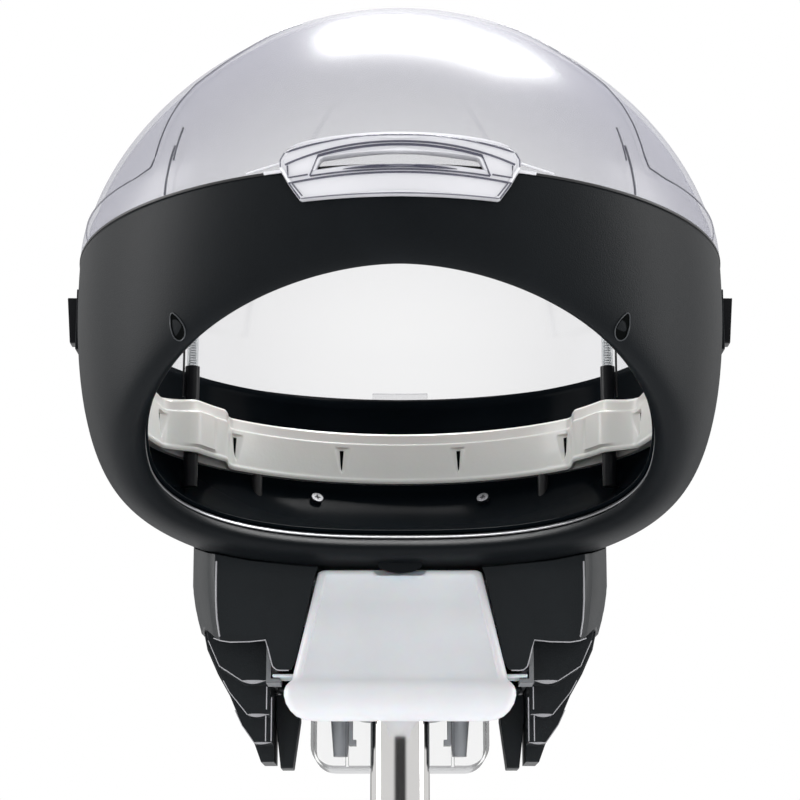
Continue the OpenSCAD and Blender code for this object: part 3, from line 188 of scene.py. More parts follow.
def material(name, color, rough=0.5, metal=0.0, grain=0.0, grain_size=1.0, mottle=0.0, coat=0.0, alpha=1.0,
             edge=0.0, sss=0.0, spec=0.5, brushed=False, coat_rough=0.05, painted_rim_shade=0.0):
    """Procedural material with soft mottling and fine grain. A clear one gains edge at grazing angles, and
    one with rim shade gets painted shade darkening its base colour towards the silhouette.
    """
    m = bpy.data.materials.new(name)
    m.use_nodes = True
    nt = m.node_tree
    b = nt.nodes["Principled BSDF"]
    L = nt.links.new
    b.inputs["Metallic"].default_value = metal
    b.inputs["Coat Weight"].default_value = coat
    b.inputs["Coat Roughness"].default_value = coat_rough
    b.inputs["Specular IOR Level"].default_value = spec
    b.inputs["Subsurface Weight"].default_value = sss
    b.inputs["Subsurface Scale"].default_value = 0.008
    tc = nt.nodes.new("ShaderNodeTexCoord")
    soft = nt.nodes.new("ShaderNodeTexNoise")
    soft.inputs["Scale"].default_value = 22
    soft.inputs["Detail"].default_value = 5
    L(tc.outputs["Object"], soft.inputs["Vector"])
    ramp = nt.nodes.new("ShaderNodeValToRGB")
    c2 = [min(1, v * (1 + mottle)) for v in color[:3]]
    c1 = [v * (1 - mottle) for v in color[:3]]
    low, high = ramp.color_ramp.elements
    low.position, high.position = 0.3, 0.7
    low.color = (*c1, 1)
    high.color = (*c2, 1)
    L(soft.outputs["Fac"], ramp.inputs["Fac"])
    L(ramp.outputs["Color"], b.inputs["Base Color"])
    # painted shade: the base colour darkens where the surface turns away from the view
    if painted_rim_shade:
        turn = nt.nodes.new("ShaderNodeLayerWeight")
        turn.inputs["Blend"].default_value = 0.4
        dark = map_range(nt, (1.0, 1.0 - painted_rim_shade))
        scale = nt.nodes.new("ShaderNodeVectorMath")
        scale.operation = "SCALE"
        L(turn.outputs["Facing"], dark.inputs["Value"])
        L(ramp.outputs["Color"], scale.inputs[0])
        L(dark.outputs["Result"], scale.inputs["Scale"])
        L(scale.outputs["Vector"], b.inputs["Base Color"])
    mr = map_range(nt, (max(0.0, rough * (1 - ROUGH_VARY)), min(1.0, rough * (1 + ROUGH_VARY))))
    L(soft.outputs["Fac"], mr.inputs["Value"])
    L(mr.outputs["Result"], b.inputs["Roughness"])
    if grain > 0:
        fine = nt.nodes.new("ShaderNodeTexNoise")
        fine.inputs["Scale"].default_value = 1000 / grain_size
        fine.inputs["Detail"].default_value = 3
        if brushed:
            mp = nt.nodes.new("ShaderNodeMapping")
            mp.inputs["Scale"].default_value = (1, 1, 0.02)
            L(tc.outputs["Object"], mp.inputs["Vector"])
            L(mp.outputs["Vector"], fine.inputs["Vector"])
        else:
            L(tc.outputs["Object"], fine.inputs["Vector"])
        bump = nt.nodes.new("ShaderNodeBump")
        bump.inputs["Strength"].default_value = grain
        bump.inputs["Distance"].default_value = 0.0004 * grain_size
        L(fine.outputs["Fac"], bump.inputs["Height"])
        L(bump.outputs["Normal"], b.inputs["Normal"])
    if alpha < 1:
        lw = nt.nodes.new("ShaderNodeLayerWeight")
        lw.inputs["Blend"].default_value = 0.35
        ar = map_range(nt, (alpha, min(1.0, alpha + edge)))
        L(lw.outputs["Facing"], ar.inputs["Value"])
        L(ar.outputs["Result"], b.inputs["Alpha"])
        m.surface_render_method = "BLENDED"
    return m


# Each look: colour, roughness and what else its material has
LOOKS = {
    "shell_black": ((0.006, 0.0075, 0.009), 0.42, dict(grain=0.45, grain_size=0.9, mottle=0.12, spec=0.1)),
    "housing_black": ((0.009, 0.0115, 0.0135), 0.4, dict(
        grain=0.35, grain_size=0.9, mottle=0.12, spec=0.3)),
    "fitting_black": ((0.006, 0.0065, 0.008), 0.28, dict(grain=0.08, mottle=0.1, spec=0.25)),
    # near-black for flat sheets standing for the shade in the shell's pockets and the nozzle slots: painted
    # shade
    "hole_shade_black": ((0.0015, 0.002, 0.002), 0.6, dict(mottle=0.1, spec=0.02)),
    # light grey for thin lines along the housing's and louvres' edges: painted highlights
    "painted_edge_highlight": ((0.42, 0.42, 0.44), 0.3, dict(mottle=0.06, spec=0.5)),
    # dark grey, lighter than the shell, for the pockets' rims: a painted highlight
    "soft_edge_highlight": ((0.05, 0.055, 0.06), 0.35, dict(mottle=0.06, spec=0.5)),
    "gloss_black": ((0.0025, 0.004, 0.0055), 0.16, dict(mottle=0.15, spec=0.012)),
    "seal_rubber": ((0.01, 0.01, 0.011), 0.45, dict(grain=0.15, mottle=0.1)),
    "ring_cream": ((0.9, 0.89, 0.85), 0.3, dict(mottle=0.02, sss=0.1, coat=0.25, grain=0.05, grain_size=3)),
    "bright_metal": ((0.72, 0.73, 0.75), 0.12, dict(metal=1, mottle=0.04, grain=0.04, grain_size=2)),
    "chrome_tube": ((0.78, 0.77, 0.76), 0.09, dict(
        metal=1, mottle=0.02, grain=0.05, grain_size=1, brushed=True)),
    "cast_frame": ((0.3, 0.31, 0.32), 0.5, dict(metal=1, grain=0.5, grain_size=1.5, mottle=0.08)),
    "charcoal_steel": ((0.03, 0.031, 0.034), 0.45, dict(grain=0.45, grain_size=0.9, mottle=0.1)),
    "castor_black": ((0.02, 0.021, 0.023), 0.4, dict(grain=0.2, grain_size=0.8, mottle=0.12)),
    "wheel_grey": ((0.07, 0.072, 0.076), 0.6, dict(grain=0.3, grain_size=1.2, mottle=0.15)),
    "clear_glass": ((0.8, 0.84, 0.86), 0.05, dict(mottle=0.02, alpha=0.16, edge=0.6, coat=0.5)),
    "trim_metal": ((0.3, 0.305, 0.315), 0.32, dict(metal=1, mottle=0.08)),
    "screw_metal": ((0.3, 0.3, 0.31), 0.5, dict(metal=1, mottle=0.1)),
    "mesh_metal": ((0.5, 0.51, 0.53), 0.3, dict(metal=1, mottle=0.1, grain=0.3, grain_size=0.5)),
    "boiler_steel": ((0.5, 0.51, 0.53), 0.3, dict(metal=1, grain=0.3, mottle=0.05, brushed=True)),
    "element_metal": ((0.2, 0.18, 0.16), 0.45, dict(metal=1, mottle=0.25)),
    "ceramic": ((0.6, 0.55, 0.45), 0.35, dict(mottle=0.06)),
    "hose": ((0.015, 0.015, 0.016), 0.4, dict(mottle=0.1, grain=0.1)),
    "feed_hose": ((0.6, 0.6, 0.57), 0.35, dict(mottle=0.04, sss=0.2)),
    "unit_blue": ((0.03, 0.07, 0.14), 0.3, dict(mottle=0.1, grain=0.1, grain_size=4)),
    "board_green": ((0.015, 0.13, 0.05), 0.35, dict(mottle=0.15)),
    "panel_grey": ((0.05, 0.052, 0.056), 0.4, dict(grain=0.3, grain_size=0.8, mottle=0.08)),
    "lamp_red": ((0.5, 0.03, 0.02), 0.15, dict(mottle=0.1, coat=0.6)),
    "knob_grey": ((0.5, 0.51, 0.53), 0.3, dict(mottle=0.04, grain=0.1)),
    # grey spouts, with painted shade darkening them towards their outline
    "spout_grey": ((0.5, 0.52, 0.55), 0.25, dict(mottle=0.1, coat=0.3, painted_rim_shade=0.92)),
    "dome_smoke": ((0.28, 0.28, 0.36), 0.28, dict(
        mottle=0.03, alpha=0.065, edge=0.46, coat=0.5, coat_rough=0.27)),
    # dark lines on the dome: painted shade along its step and fins
    "dome_shade_line": ((0.1, 0.1, 0.13), 0.15, dict(mottle=0.05, coat=0.6, alpha=0.75, edge=0.2)),
    # dark lines on the handle: painted shade along its edges
    "handle_shade_line": ((0.06, 0.06, 0.11), 0.2, dict(mottle=0.05, coat=0.3, alpha=0.6, edge=0.2)),
    # nearly opaque white for the clear handle: partly its own milky tone, partly painted reflection
    "handle_clear": ((0.93, 0.93, 0.97), 0.12, dict(mottle=0.02, alpha=0.86, edge=0.15, coat=0.6)),
    "tank_frost": ((0.78, 0.8, 0.83), 0.36, dict(
        mottle=0.03, sss=0.3, grain=0.1, grain_size=1.5, coat=0.25)),
    "cup_clear": ((0.2, 0.21, 0.23), 0.08, dict(mottle=0.02, alpha=0.03, edge=0.8, coat=0.2)),
}
MATS = {name: material(name, color, rough, **more) for name, (color, rough, more) in LOOKS.items()}
SLOT = {row["node"]: row.get("material_slot", row["node"]) for row in frame["record"].get("subparts", [])}


# Mesh helpers
def mesh_piece(name, verts, faces, slot, body="head", smooth=True, sharp=None, look=None):
    """One piece from points in metres, with its slot and body, and a look where it isn't the slot's own."""
    me = bpy.data.meshes.new(name)
    me.from_pydata([tuple(v) for v in verts], [], faces)
    me.validate()
    bm = bmesh.new()
    bm.from_mesh(me)
    bmesh.ops.remove_doubles(bm, verts=bm.verts, dist=1e-6)
    bmesh.ops.recalc_face_normals(bm, faces=bm.faces)
    bm.to_mesh(me)
    bm.free()
    for poly in me.polygons:
        poly.use_smooth = smooth
    if sharp:
        me.set_sharp_from_angle(angle=math.radians(sharp))
    ob = bpy.data.objects.new(name, me)
    bpy.context.scene.collection.objects.link(ob)
    me.materials.append(MATS[look or slot])
    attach(ob, body)
    return ob


def torus_grid(name, P, slot, body="head", **kw):
    """P[i][j]: i wraps round, and j wraps along the section."""
    n, m = P.shape[:2]
    faces = []
    for i in range(n):
        k = (i + 1) % n
        for j in range(m):
            l = (j + 1) % m
            faces.append((i * m + j, k * m + j, k * m + l, i * m + l))
    return mesh_piece(name, G(P.reshape(-1, 3)), faces, slot, body, **kw)


def rounded_wall(outer, inner):
    """Section that goes down the outer wall, round the free edge and back up the inner wall."""
    a, b = outer[:, -1], inner[:, -1]
    mid, half = (a + b) / 2, (a - b) / 2
    t = outer[:, -1] - outer[:, -2]
    t -= half * (np.sum(t * half, -1, keepdims=True) / np.sum(half * half, -1, keepdims=True))
    length = np.maximum(np.linalg.norm(t, axis=-1, keepdims=True), 1e-9)
    t *= np.linalg.norm(half, axis=-1, keepdims=True) / length
    steps = 4
    rows = []
    for k in range(1, steps):
        g = math.pi * k / steps
        rows.append(mid + half * math.cos(g) + t * math.sin(g) * 0.8)
    return np.concatenate([outer, np.stack(rows, 1), inner[:, ::-1]], 1)


def tube(name, path, r, slot_name, body, n=8, look=None):
    """Round bar along a path of points, with one radius or one for each point."""
    path = [np.array(p, float) for p in path]
    radii = np.broadcast_to(r, len(path))
    vs, fs = [], []
    for k, p in enumerate(path):
        d = path[min(k + 1, len(path) - 1)] - path[max(k - 1, 0)]
        d /= np.linalg.norm(d)
        a = np.cross(d, (0.3, 0.2, 1.0))
        a /= np.linalg.norm(a)
        b = np.cross(d, a)
        turns = [2 * math.pi * q / n for q in range(n)]
        vs += [p + radii[k] * (a * math.cos(g) + b * math.sin(g)) for g in turns]
    for k in range(len(path) - 1):
        here, ahead = k * n, (k + 1) * n
        fs += [(here + q, here + (q + 1) % n, ahead + (q + 1) % n, ahead + q) for q in range(n)]
    fs += [tuple(range(n))[::-1], tuple((len(path) - 1) * n + q for q in range(n))]
    return mesh_piece(name, G(np.array(vs)), fs, slot_name, body, sharp=60, look=look)


def soft_box(name, centre, size, slot, body):
    """Box with rounded edges."""
    bm = bmesh.new()
    bmesh.ops.create_cube(bm, size=1)
    for v in bm.verts:
        v.co = Vector((v.co.x * size[0], v.co.y * size[1], v.co.z * size[2]))
    bmesh.ops.bevel(bm, geom=bm.edges[:], offset=min(size) * 0.3, segments=2, affect="EDGES", profile=0.5)
    me = bpy.data.meshes.new(name)
    for v in bm.verts:
        v.co = Vector(G(np.add(centre, v.co)))
    bm.to_mesh(me)
    bm.free()
    for poly in me.polygons:
        poly.use_smooth = True
    ob = bpy.data.objects.new(name, me)
    bpy.context.scene.collection.objects.link(ob)
    me.materials.append(MATS[slot])
    sm = ob.modifiers.new("sub", "SUBSURF")
    sm.levels = sm.render_levels = 2
    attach(ob, body)


def plate(name, outline, y0, y1, slot):
    """Flat piece between y0 and y1 from an outline of (x, z)."""
    verts = [(x, y, z) for y in (y0, y1) for x, z in outline]
    k = len(outline)
    faces = [tuple(range(k)), tuple(range(k, 2 * k))]
    faces += [(q, (q + 1) % k, k + (q + 1) % k, k + q) for q in range(k)]
    mesh_piece(name, G(np.array(verts)), faces, slot, smooth=False)


def highlight_line(name, path, r):
    """Thin light-grey line along an edge of the housing: a painted highlight."""
    tube(name, path, r, "housing_black", "head", 6, "painted_edge_highlight")


def dress(name, width, look=None):
    """Material, softened edges and clean shading for a CAD node that stays."""
    ob = NODES[name]
    me = ob.data
    me.materials.clear()
    me.materials.append(MATS[look or SLOT[name]])
    for poly in me.polygons:
        poly.use_smooth = True
        poly.material_index = 0
    w = ob.modifiers.new("weld", "WELD")
    w.merge_threshold = 1e-6
    if width:
        b = ob.modifiers.new("bevel", "BEVEL")
        b.width, b.segments, b.limit_method, b.angle_limit = width, 2, "ANGLE", math.radians(EDGE_ANGLE)
        b.use_clamp_overlap = True
        b.harden_normals = False
    n = ob.modifiers.new("normals", "WEIGHTED_NORMAL")
    n.keep_sharp = True
    n.weight = 60


PH = np.linspace(0, 2 * math.pi, 241)[:-1]

# Hood
T = np.linspace(0, 1, 73)
ph, t = np.meshgrid(PH, T, indexing="ij")
t0 = share_at(ph, rim_z(ph))
t = t0 + (1 - t0) * t
outer = shell(ph, t)
nin = normal(shell, ph, t)
inner = outer + SHELL_T * nin
inner[:, 0, 2] = outer[:, 0, 2]
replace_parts(torus_grid("shell_skin", rounded_wall(outer, inner), "shell_black"), "lower_shell")

T = np.linspace(0, 1, 61)
ph, t = np.meshgrid(PH, T, indexing="ij")
inner = bowl(ph, t)
outer = inner - BOWL_T * normal(bowl, ph, t)
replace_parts(torus_grid("liner_skin", rounded_wall(outer, inner), "gloss_black"), "inner_bowl")

# The dome's side windows are set back behind a soft step: its line as degrees of rise and of angle, where the
# windows end at the side and at the back, their lower edge and how far they stand in
STEP_RISE = [8, 13.1, 17.5, 22.7, 27.9, 33.8, 37.4, 44.6, 60]
STEP_PH = [46.5, 45.9, 46.4, 47.2, 47.7, 47.4, 44.7, 40.3, 36]
WINDOW_SIDE, WINDOW_BACK, WINDOW_LOW, WINDOW_INSET = 46, 146, 8.7, 1.5
cols = np.unique(np.concatenate([
    np.arange(0, 180.1, 1.5),
    WINDOW_SIDE + np.array([-0.7, -0.45, -0.2, 0.05, 0.3, 0.55]),
    WINDOW_BACK + np.array([-1, -0.5, 0, 0.5, 1])]))
cols = np.radians(np.concatenate([cols, -cols[1:-1][::-1]]) % 360)
rises = np.unique(np.concatenate([np.linspace(0, 88, 45), [8.6, 8.9, 9.2, 9.5, 9.8, 10.1], [89.4]]))[::-1]


def dome_face(inset):
    """The dome's outer face, or one that stands inset mm in."""
    ph, ri = np.meshgrid(cols, np.radians(rises), indexing="ij")
    a = np.degrees(np.arccos(np.cos(ph)))
    side = np.where(np.sin(ph) >= 0, 1, -1)
    line = np.interp(np.degrees(ri), STEP_RISE, STEP_PH)
    bend = (line - WINDOW_SIDE) * np.exp(-((a - WINDOW_SIDE) / 16) ** 2)
    win = smoothstep((a - (WINDOW_SIDE - 0.5)) / 0.8) * smoothstep((np.degrees(ri) - WINDOW_LOW) / 1.2)
    win = win * (1 - smoothstep((a - (WINDOW_BACK - 1)) / 2))
    win *= 1 - smoothstep((np.degrees(ri) - 50) / 22)
    ph2 = ph + side * np.radians(bend)
    z = DOME_H * np.sin(ri) ** (2 / DOME_HEIGHT_POWER)
    low = rim_z(ph2) * (1 - smoothstep(np.degrees(ri) / 16))
    z = z + low
    below = z < 0
    t = share_at(ph2, np.minimum(z, 0))
    q = shell(ph2, t)
    q = np.stack([q[..., 0] * (1 - inset / W), q[..., 1] * (1 - inset / D), z + SEAL_H], -1)
    p = dome(ph2, np.arcsin(np.clip(np.maximum(z, 0) / DOME_H, 0, 1) ** (DOME_HEIGHT_POWER / 2)), -inset)
    out = np.where(below[..., None], q, p)
    n = out * np.array([1 / W ** 2, 1 / D ** 2, 1 / DOME_H ** 2])
    n[..., 2] *= smoothstep(np.degrees(ri) / 30)
    n /= np.linalg.norm(n, axis=-1, keepdims=True)
    return out - n * (win * WINDOW_INSET)[..., None]


dome_wall = rounded_wall(dome_face(0), dome_face(DOME_T))
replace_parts(torus_grid("dome_skin", dome_wall, "dome_smoke", "dome"), "hood_dome")


def on_dome(pts, off=0.0):
    """Points on the dome from (angle, rise) in degrees."""
    pts = np.radians(np.array(pts, float))
    return dome(pts[:, 0], pts[:, 1], off)


def dome_shade_line(name, path, r):
    """Thin dark line on the dome: painted shade."""
    tube(name, path, r, "dome_smoke", "dome", 6, "dome_shade_line")


# dark lines of painted shade along the dome's side step and its moulded fins
for sgn in (1, -1):
    side = "right" if sgn > 0 else "left"
    rise = np.linspace(11, 58, 40)
    crease = [(sgn * q, r) for q, r in zip(np.interp(rise, STEP_RISE, STEP_PH), rise)]
    low = [(sgn * q, 9.3 + 1.0 * math.exp(-((q - 46) / 3.0) ** 2)) for q in np.linspace(140, 46.5, 60)]
    dome_shade_line("dome_step_shade_" + side, list(on_dome(low, -0.4)) + list(on_dome(crease, -0.4)), 0.55)
    long_fin = [(sgn * (41.1 - 0.2 * k / 8), 0.3 + 13.5 * k / 8) for k in range(9)]
    short_fin = [(sgn * (40.2 + 0.3 * k / 6), 9.8 + 8.6 * k / 6) for k in range(7)]
    dome_shade_line("dome_fin_shade_long_" + side, on_dome(long_fin, 0.2), 0.75)
    dome_shade_line("dome_fin_shade_short_" + side, on_dome(short_fin, 0.2), 0.6)

# Seal on the rim, and the bright trim inside the face opening
section = [(0.25, 0.0), (0.45, 0.4), (0.45, 1.2), (0.25, SEAL_H), (-2.8, SEAL_H), (-2.8, 0.0)]
rim = shell(PH, share_at(PH, rim_z(PH)))
out = np.stack([np.sin(PH) / W, -np.cos(PH) / D, 0 * PH], -1)
out /= np.linalg.norm(out, axis=-1, keepdims=True)
P = np.stack([rim + out * a + np.array([0, 0, z]) for a, z in section], 1)
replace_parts(torus_grid("seal_skin", P, "seal_rubber", sharp=40), "rim_seal")

e = mouth(PH)
tang = mouth(PH + 0.01) - mouth(PH - 0.01)
away = -np.cross(tang, np.array([0, N[0], N[1]]))
away /= np.linalg.norm(away, axis=-1, keepdims=True)
NN = np.array([0, N[0], N[1]])
section = [(0.5, -1.2), (-0.1, -1.4), (-0.1, -2.3), (0.5, -2.6), (1.1, -5.2), (1.5, -5.2), (1.5, -1.2)]
P = np.stack([e + away * a + NN * z for a, z in section], 1)
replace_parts(torus_grid("trim_skin", P, "bright_metal", sharp=50, look="trim_metal"), "mouth_trim")

# Steam ring: it swells round each ozone post, and its slots lie in tapered hollows
RING_W, RING_D, RING_TOP, RING_LOW = 184.0, 209.0, -65.0, -104.0
RING_T, RING_SWELL = 8.0, 16.4
SLOT_DEG = (-72.5, -43.5, -14.5, 14.5, 43.5, 72.5)
MM_PER_DEG = 3.35
BAND_STEP, TOP_ROUND, LOW_ROUND, BEAD, BOX_PROUD, HOLLOW = 1.1, 1.2, 1.0, 0.5, 2.6, 3.4
stops = [np.linspace(-104, 104, 209)]
stops += [q + np.linspace(-3, 3, 25) for q in SLOT_DEG]
stops = np.radians(np.unique(np.round(np.concatenate(stops), 3)))
LEVELS = np.array([0.0, 0.012, 0.035, 0.06, 0.1, 0.15, 0.19, 0.205, 0.22, 0.235, 0.25, 0.28, 0.3,
                   0.315, 0.33, 0.35, 0.38, 0.42, 0.46, 0.5, 0.54, 0.58, 0.62, 0.66, 0.7, 0.74, 0.78,
                   0.82, 0.86, 0.89, 0.91, 0.925, 0.94, 0.96, 0.98, 0.992, 1.0])


def ring_at(a, inset, z):
    """Point on the ring at angle a from the back, inset inwards."""
    return np.stack([(RING_W - inset) * np.sin(a), (RING_D - inset) * np.cos(a), z + 0 * a], -1)


def ring_swell(a):
    """Swell of the ring round the posts at angle a."""
    deg = np.abs(np.degrees(a))
    return RING_SWELL * smoothstep((deg - 44) / 9) * (1 - smoothstep((deg - 64) / 8))


def ring_face(a, k):
    """How far the ring's face stands in, at angle a and share k of its height."""
    deg = np.abs(np.degrees(a))
    # the upper band stands back, both edges are rounded, and a bead runs along the lower one
    x = RING_T + ring_swell(a) - BAND_STEP * (1 - smoothstep((k - 0.2) / 0.035))
    x = x - TOP_ROUND * (1 - smoothstep(k / 0.035)) - LOW_ROUND * smoothstep((k - 0.965) / 0.035)
    x = x + BEAD * smoothstep((k - 0.905) / 0.02)
    # the box round the post
    box = smoothstep((deg - 56.5) / 1.2) * (1 - smoothstep((deg - 66.5) / 1.4))
    x = x + BOX_PROUD * box * smoothstep((k - 0.2) / 0.05) * (1 - smoothstep((k - 0.86) / 0.05))
    # the slots' hollows taper downwards
    for q in SLOT_DEG:
        off = np.abs(np.degrees(a) - q) * MM_PER_DEG
        wide = 0.5 + 6.2 * (1 - np.clip((k - 0.33) / 0.47, 0, 1)) ** 0.75
        span = smoothstep((k - 0.3) / 0.03)
        hollow = np.clip(1 - off / wide, 0, 1) * span * (1 - smoothstep((k - 0.74) / 0.08))
        x = x - HOLLOW * hollow
    return x


def ring_skin():
    """The ring, open at the front, with its hollow underside."""
    aa, kk = np.meshgrid(stops, LEVELS, indexing="ij")
    face = ring_at(aa, ring_face(aa, kk), RING_TOP + (RING_LOW - RING_TOP) * kk)
    deg = np.abs(np.degrees(stops))
    face[..., 2] -= (3.0 * np.exp(-((deg - 70) / 4) ** 2))[:, None] * (1 - LEVELS)
    low = ring_face(stops, np.ones_like(stops))
    under = [ring_at(stops, low - 2.4, RING_LOW), ring_at(stops, low - 2.4, RING_LOW + 16),
             ring_at(stops, 5.2, RING_LOW + 16), ring_at(stops, 5.2, RING_LOW)]
    back = [ring_at(stops, 0.6, RING_LOW), ring_at(stops, 0, RING_LOW + 0.8),
            ring_at(stops, 0, RING_TOP - 0.8), ring_at(stops, 0.6, RING_TOP)]
    P = np.concatenate([face, np.stack(under + back, 1)], 1)
    n, m = P.shape[:2]
    faces = [(i * m + j, (i + 1) * m + j, (i + 1) * m + (j + 1) % m, i * m + (j + 1) % m)
             for i in range(n - 1) for j in range(m)]
    faces += [tuple(range(m)), tuple((n - 1) * m + j for j in range(m))]
    return mesh_piece("steam_ring_skin", G(P.reshape(-1, 3)), faces, "ring_cream", sharp=38)


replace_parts(ring_skin(), "steam_ring", "post_clips")

# Near-black sheets laid in the hollows as the painted shade inside the nozzle slots: share of the ring's
# height and half width there
NOZZLE = ((0.365, 1.6), (0.4, 1.9), (0.55, 1.3), (0.68, 0.7), (0.75, 0.35))
verts, faces = [], []
for q in SLOT_DEG:
    a0 = math.radians(q)
    base = len(verts)
    for k, half in NOZZLE:
        for side in (-1, 1):
            a1 = a0 + math.radians(side * half / MM_PER_DEG)
            x = float(ring_face(np.array(a0), np.array(k))) + 0.9
            verts.append(ring_at(np.array(a1), x, RING_TOP + (RING_LOW - RING_TOP) * k))
    faces += [(base + 2 * r, base + 2 * r + 1, base + 2 * r + 3, base + 2 * r + 2) for r in range(4)]
mesh_piece("nozzle_slot_shade", G(np.array(verts)), faces, "fitting_black", look="hole_shade_black")


# Wire coil inside each glass tube
POST_X, POST_Y = RING_W * 0.8125, RING_D * 0.4115
COIL_R, WIRE_R, COIL_LOW, COIL_H = 2.45, 0.45, -50, 108
for sgn in (1, -1):
    turns, per = 58, 14
    k = np.arange(turns * per + 1)
    g = 2 * math.pi * k / per
    zz = COIL_LOW + COIL_H * k / (turns * per)
    path = np.stack([sgn * POST_X + COIL_R * np.cos(g), POST_Y + COIL_R * np.sin(g), zz], -1)
    vs, fs = [], []
    for q in range(len(path)):
        rad = np.array([math.cos(g[q]), math.sin(g[q]), 0])
        for h in range(5):
            w = 2 * math.pi * h / 5
            vs.append(path[q] + WIRE_R * (rad * math.cos(w) + np.array([0, 0, 1]) * math.sin(w)))
    for q in range(len(path) - 1):
        for h in range(5):
            fs.append((q * 5 + h, q * 5 + (h + 1) % 5, (q + 1) * 5 + (h + 1) % 5, (q + 1) * 5 + h))
    side = "right" if sgn > 0 else "left"
    coil = mesh_piece("electrode_coil_" + side, G(np.array(vs)), fs, "mesh_metal")
    if sgn > 0:
        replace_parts(coil, "ozone_electrodes")


# Dome handle: its front's radius, the place of that radius's centre, and its depth
HANDLE_R, HANDLE_Y, HANDLE_DEPTH = 204.0, -46, 8.7


def ray_hit(poly, o, d):
    """Distance from o along d to the closed outline poly."""
    best = None
    for k in range(len(poly)):
        p, q = poly[k - 1], poly[k]
        e, w = q - p, p - o
        den = d[0] * e[1] - d[1] * e[0]
        if abs(den) > 1e-9:
            t = (w[0] * e[1] - w[1] * e[0]) / den
            u = (w[0] * d[1] - w[1] * d[0]) / den
            if t > 0 and -1e-6 <= u <= 1 + 1e-6 and (best is None or t < best):
                best = t
    return best


def on_handle(x, z, lift=0.0):
    """Point on the handle's curved front."""
    x, z = np.asarray(x, float), np.asarray(z, float)
    return np.stack([x, HANDLE_Y - np.sqrt((HANDLE_R + lift) ** 2 - x * x), z], -1)


def handle_shade_line(name, path, r):
    """Thin dark line on the handle: painted shade."""
    tube(name, path, r, "handle_clear", "dome", 6, "handle_shade_line")


HANDLE_CORNERS = {
    "end": ((64.6, -9.6), (57.8, -19.8)),
    "slot": ((47.4, 5.6), (52.2, -6.5)),
    "rim": ((67.2, 9), (69.6, 5), (69.6, 0.5)),
    "pane": ((65.5, 1.0), (65.0, -6.4), (53.5, -5.6)),
    "fold": ((62.6, -10.2), (56.6, -18.4)),
}


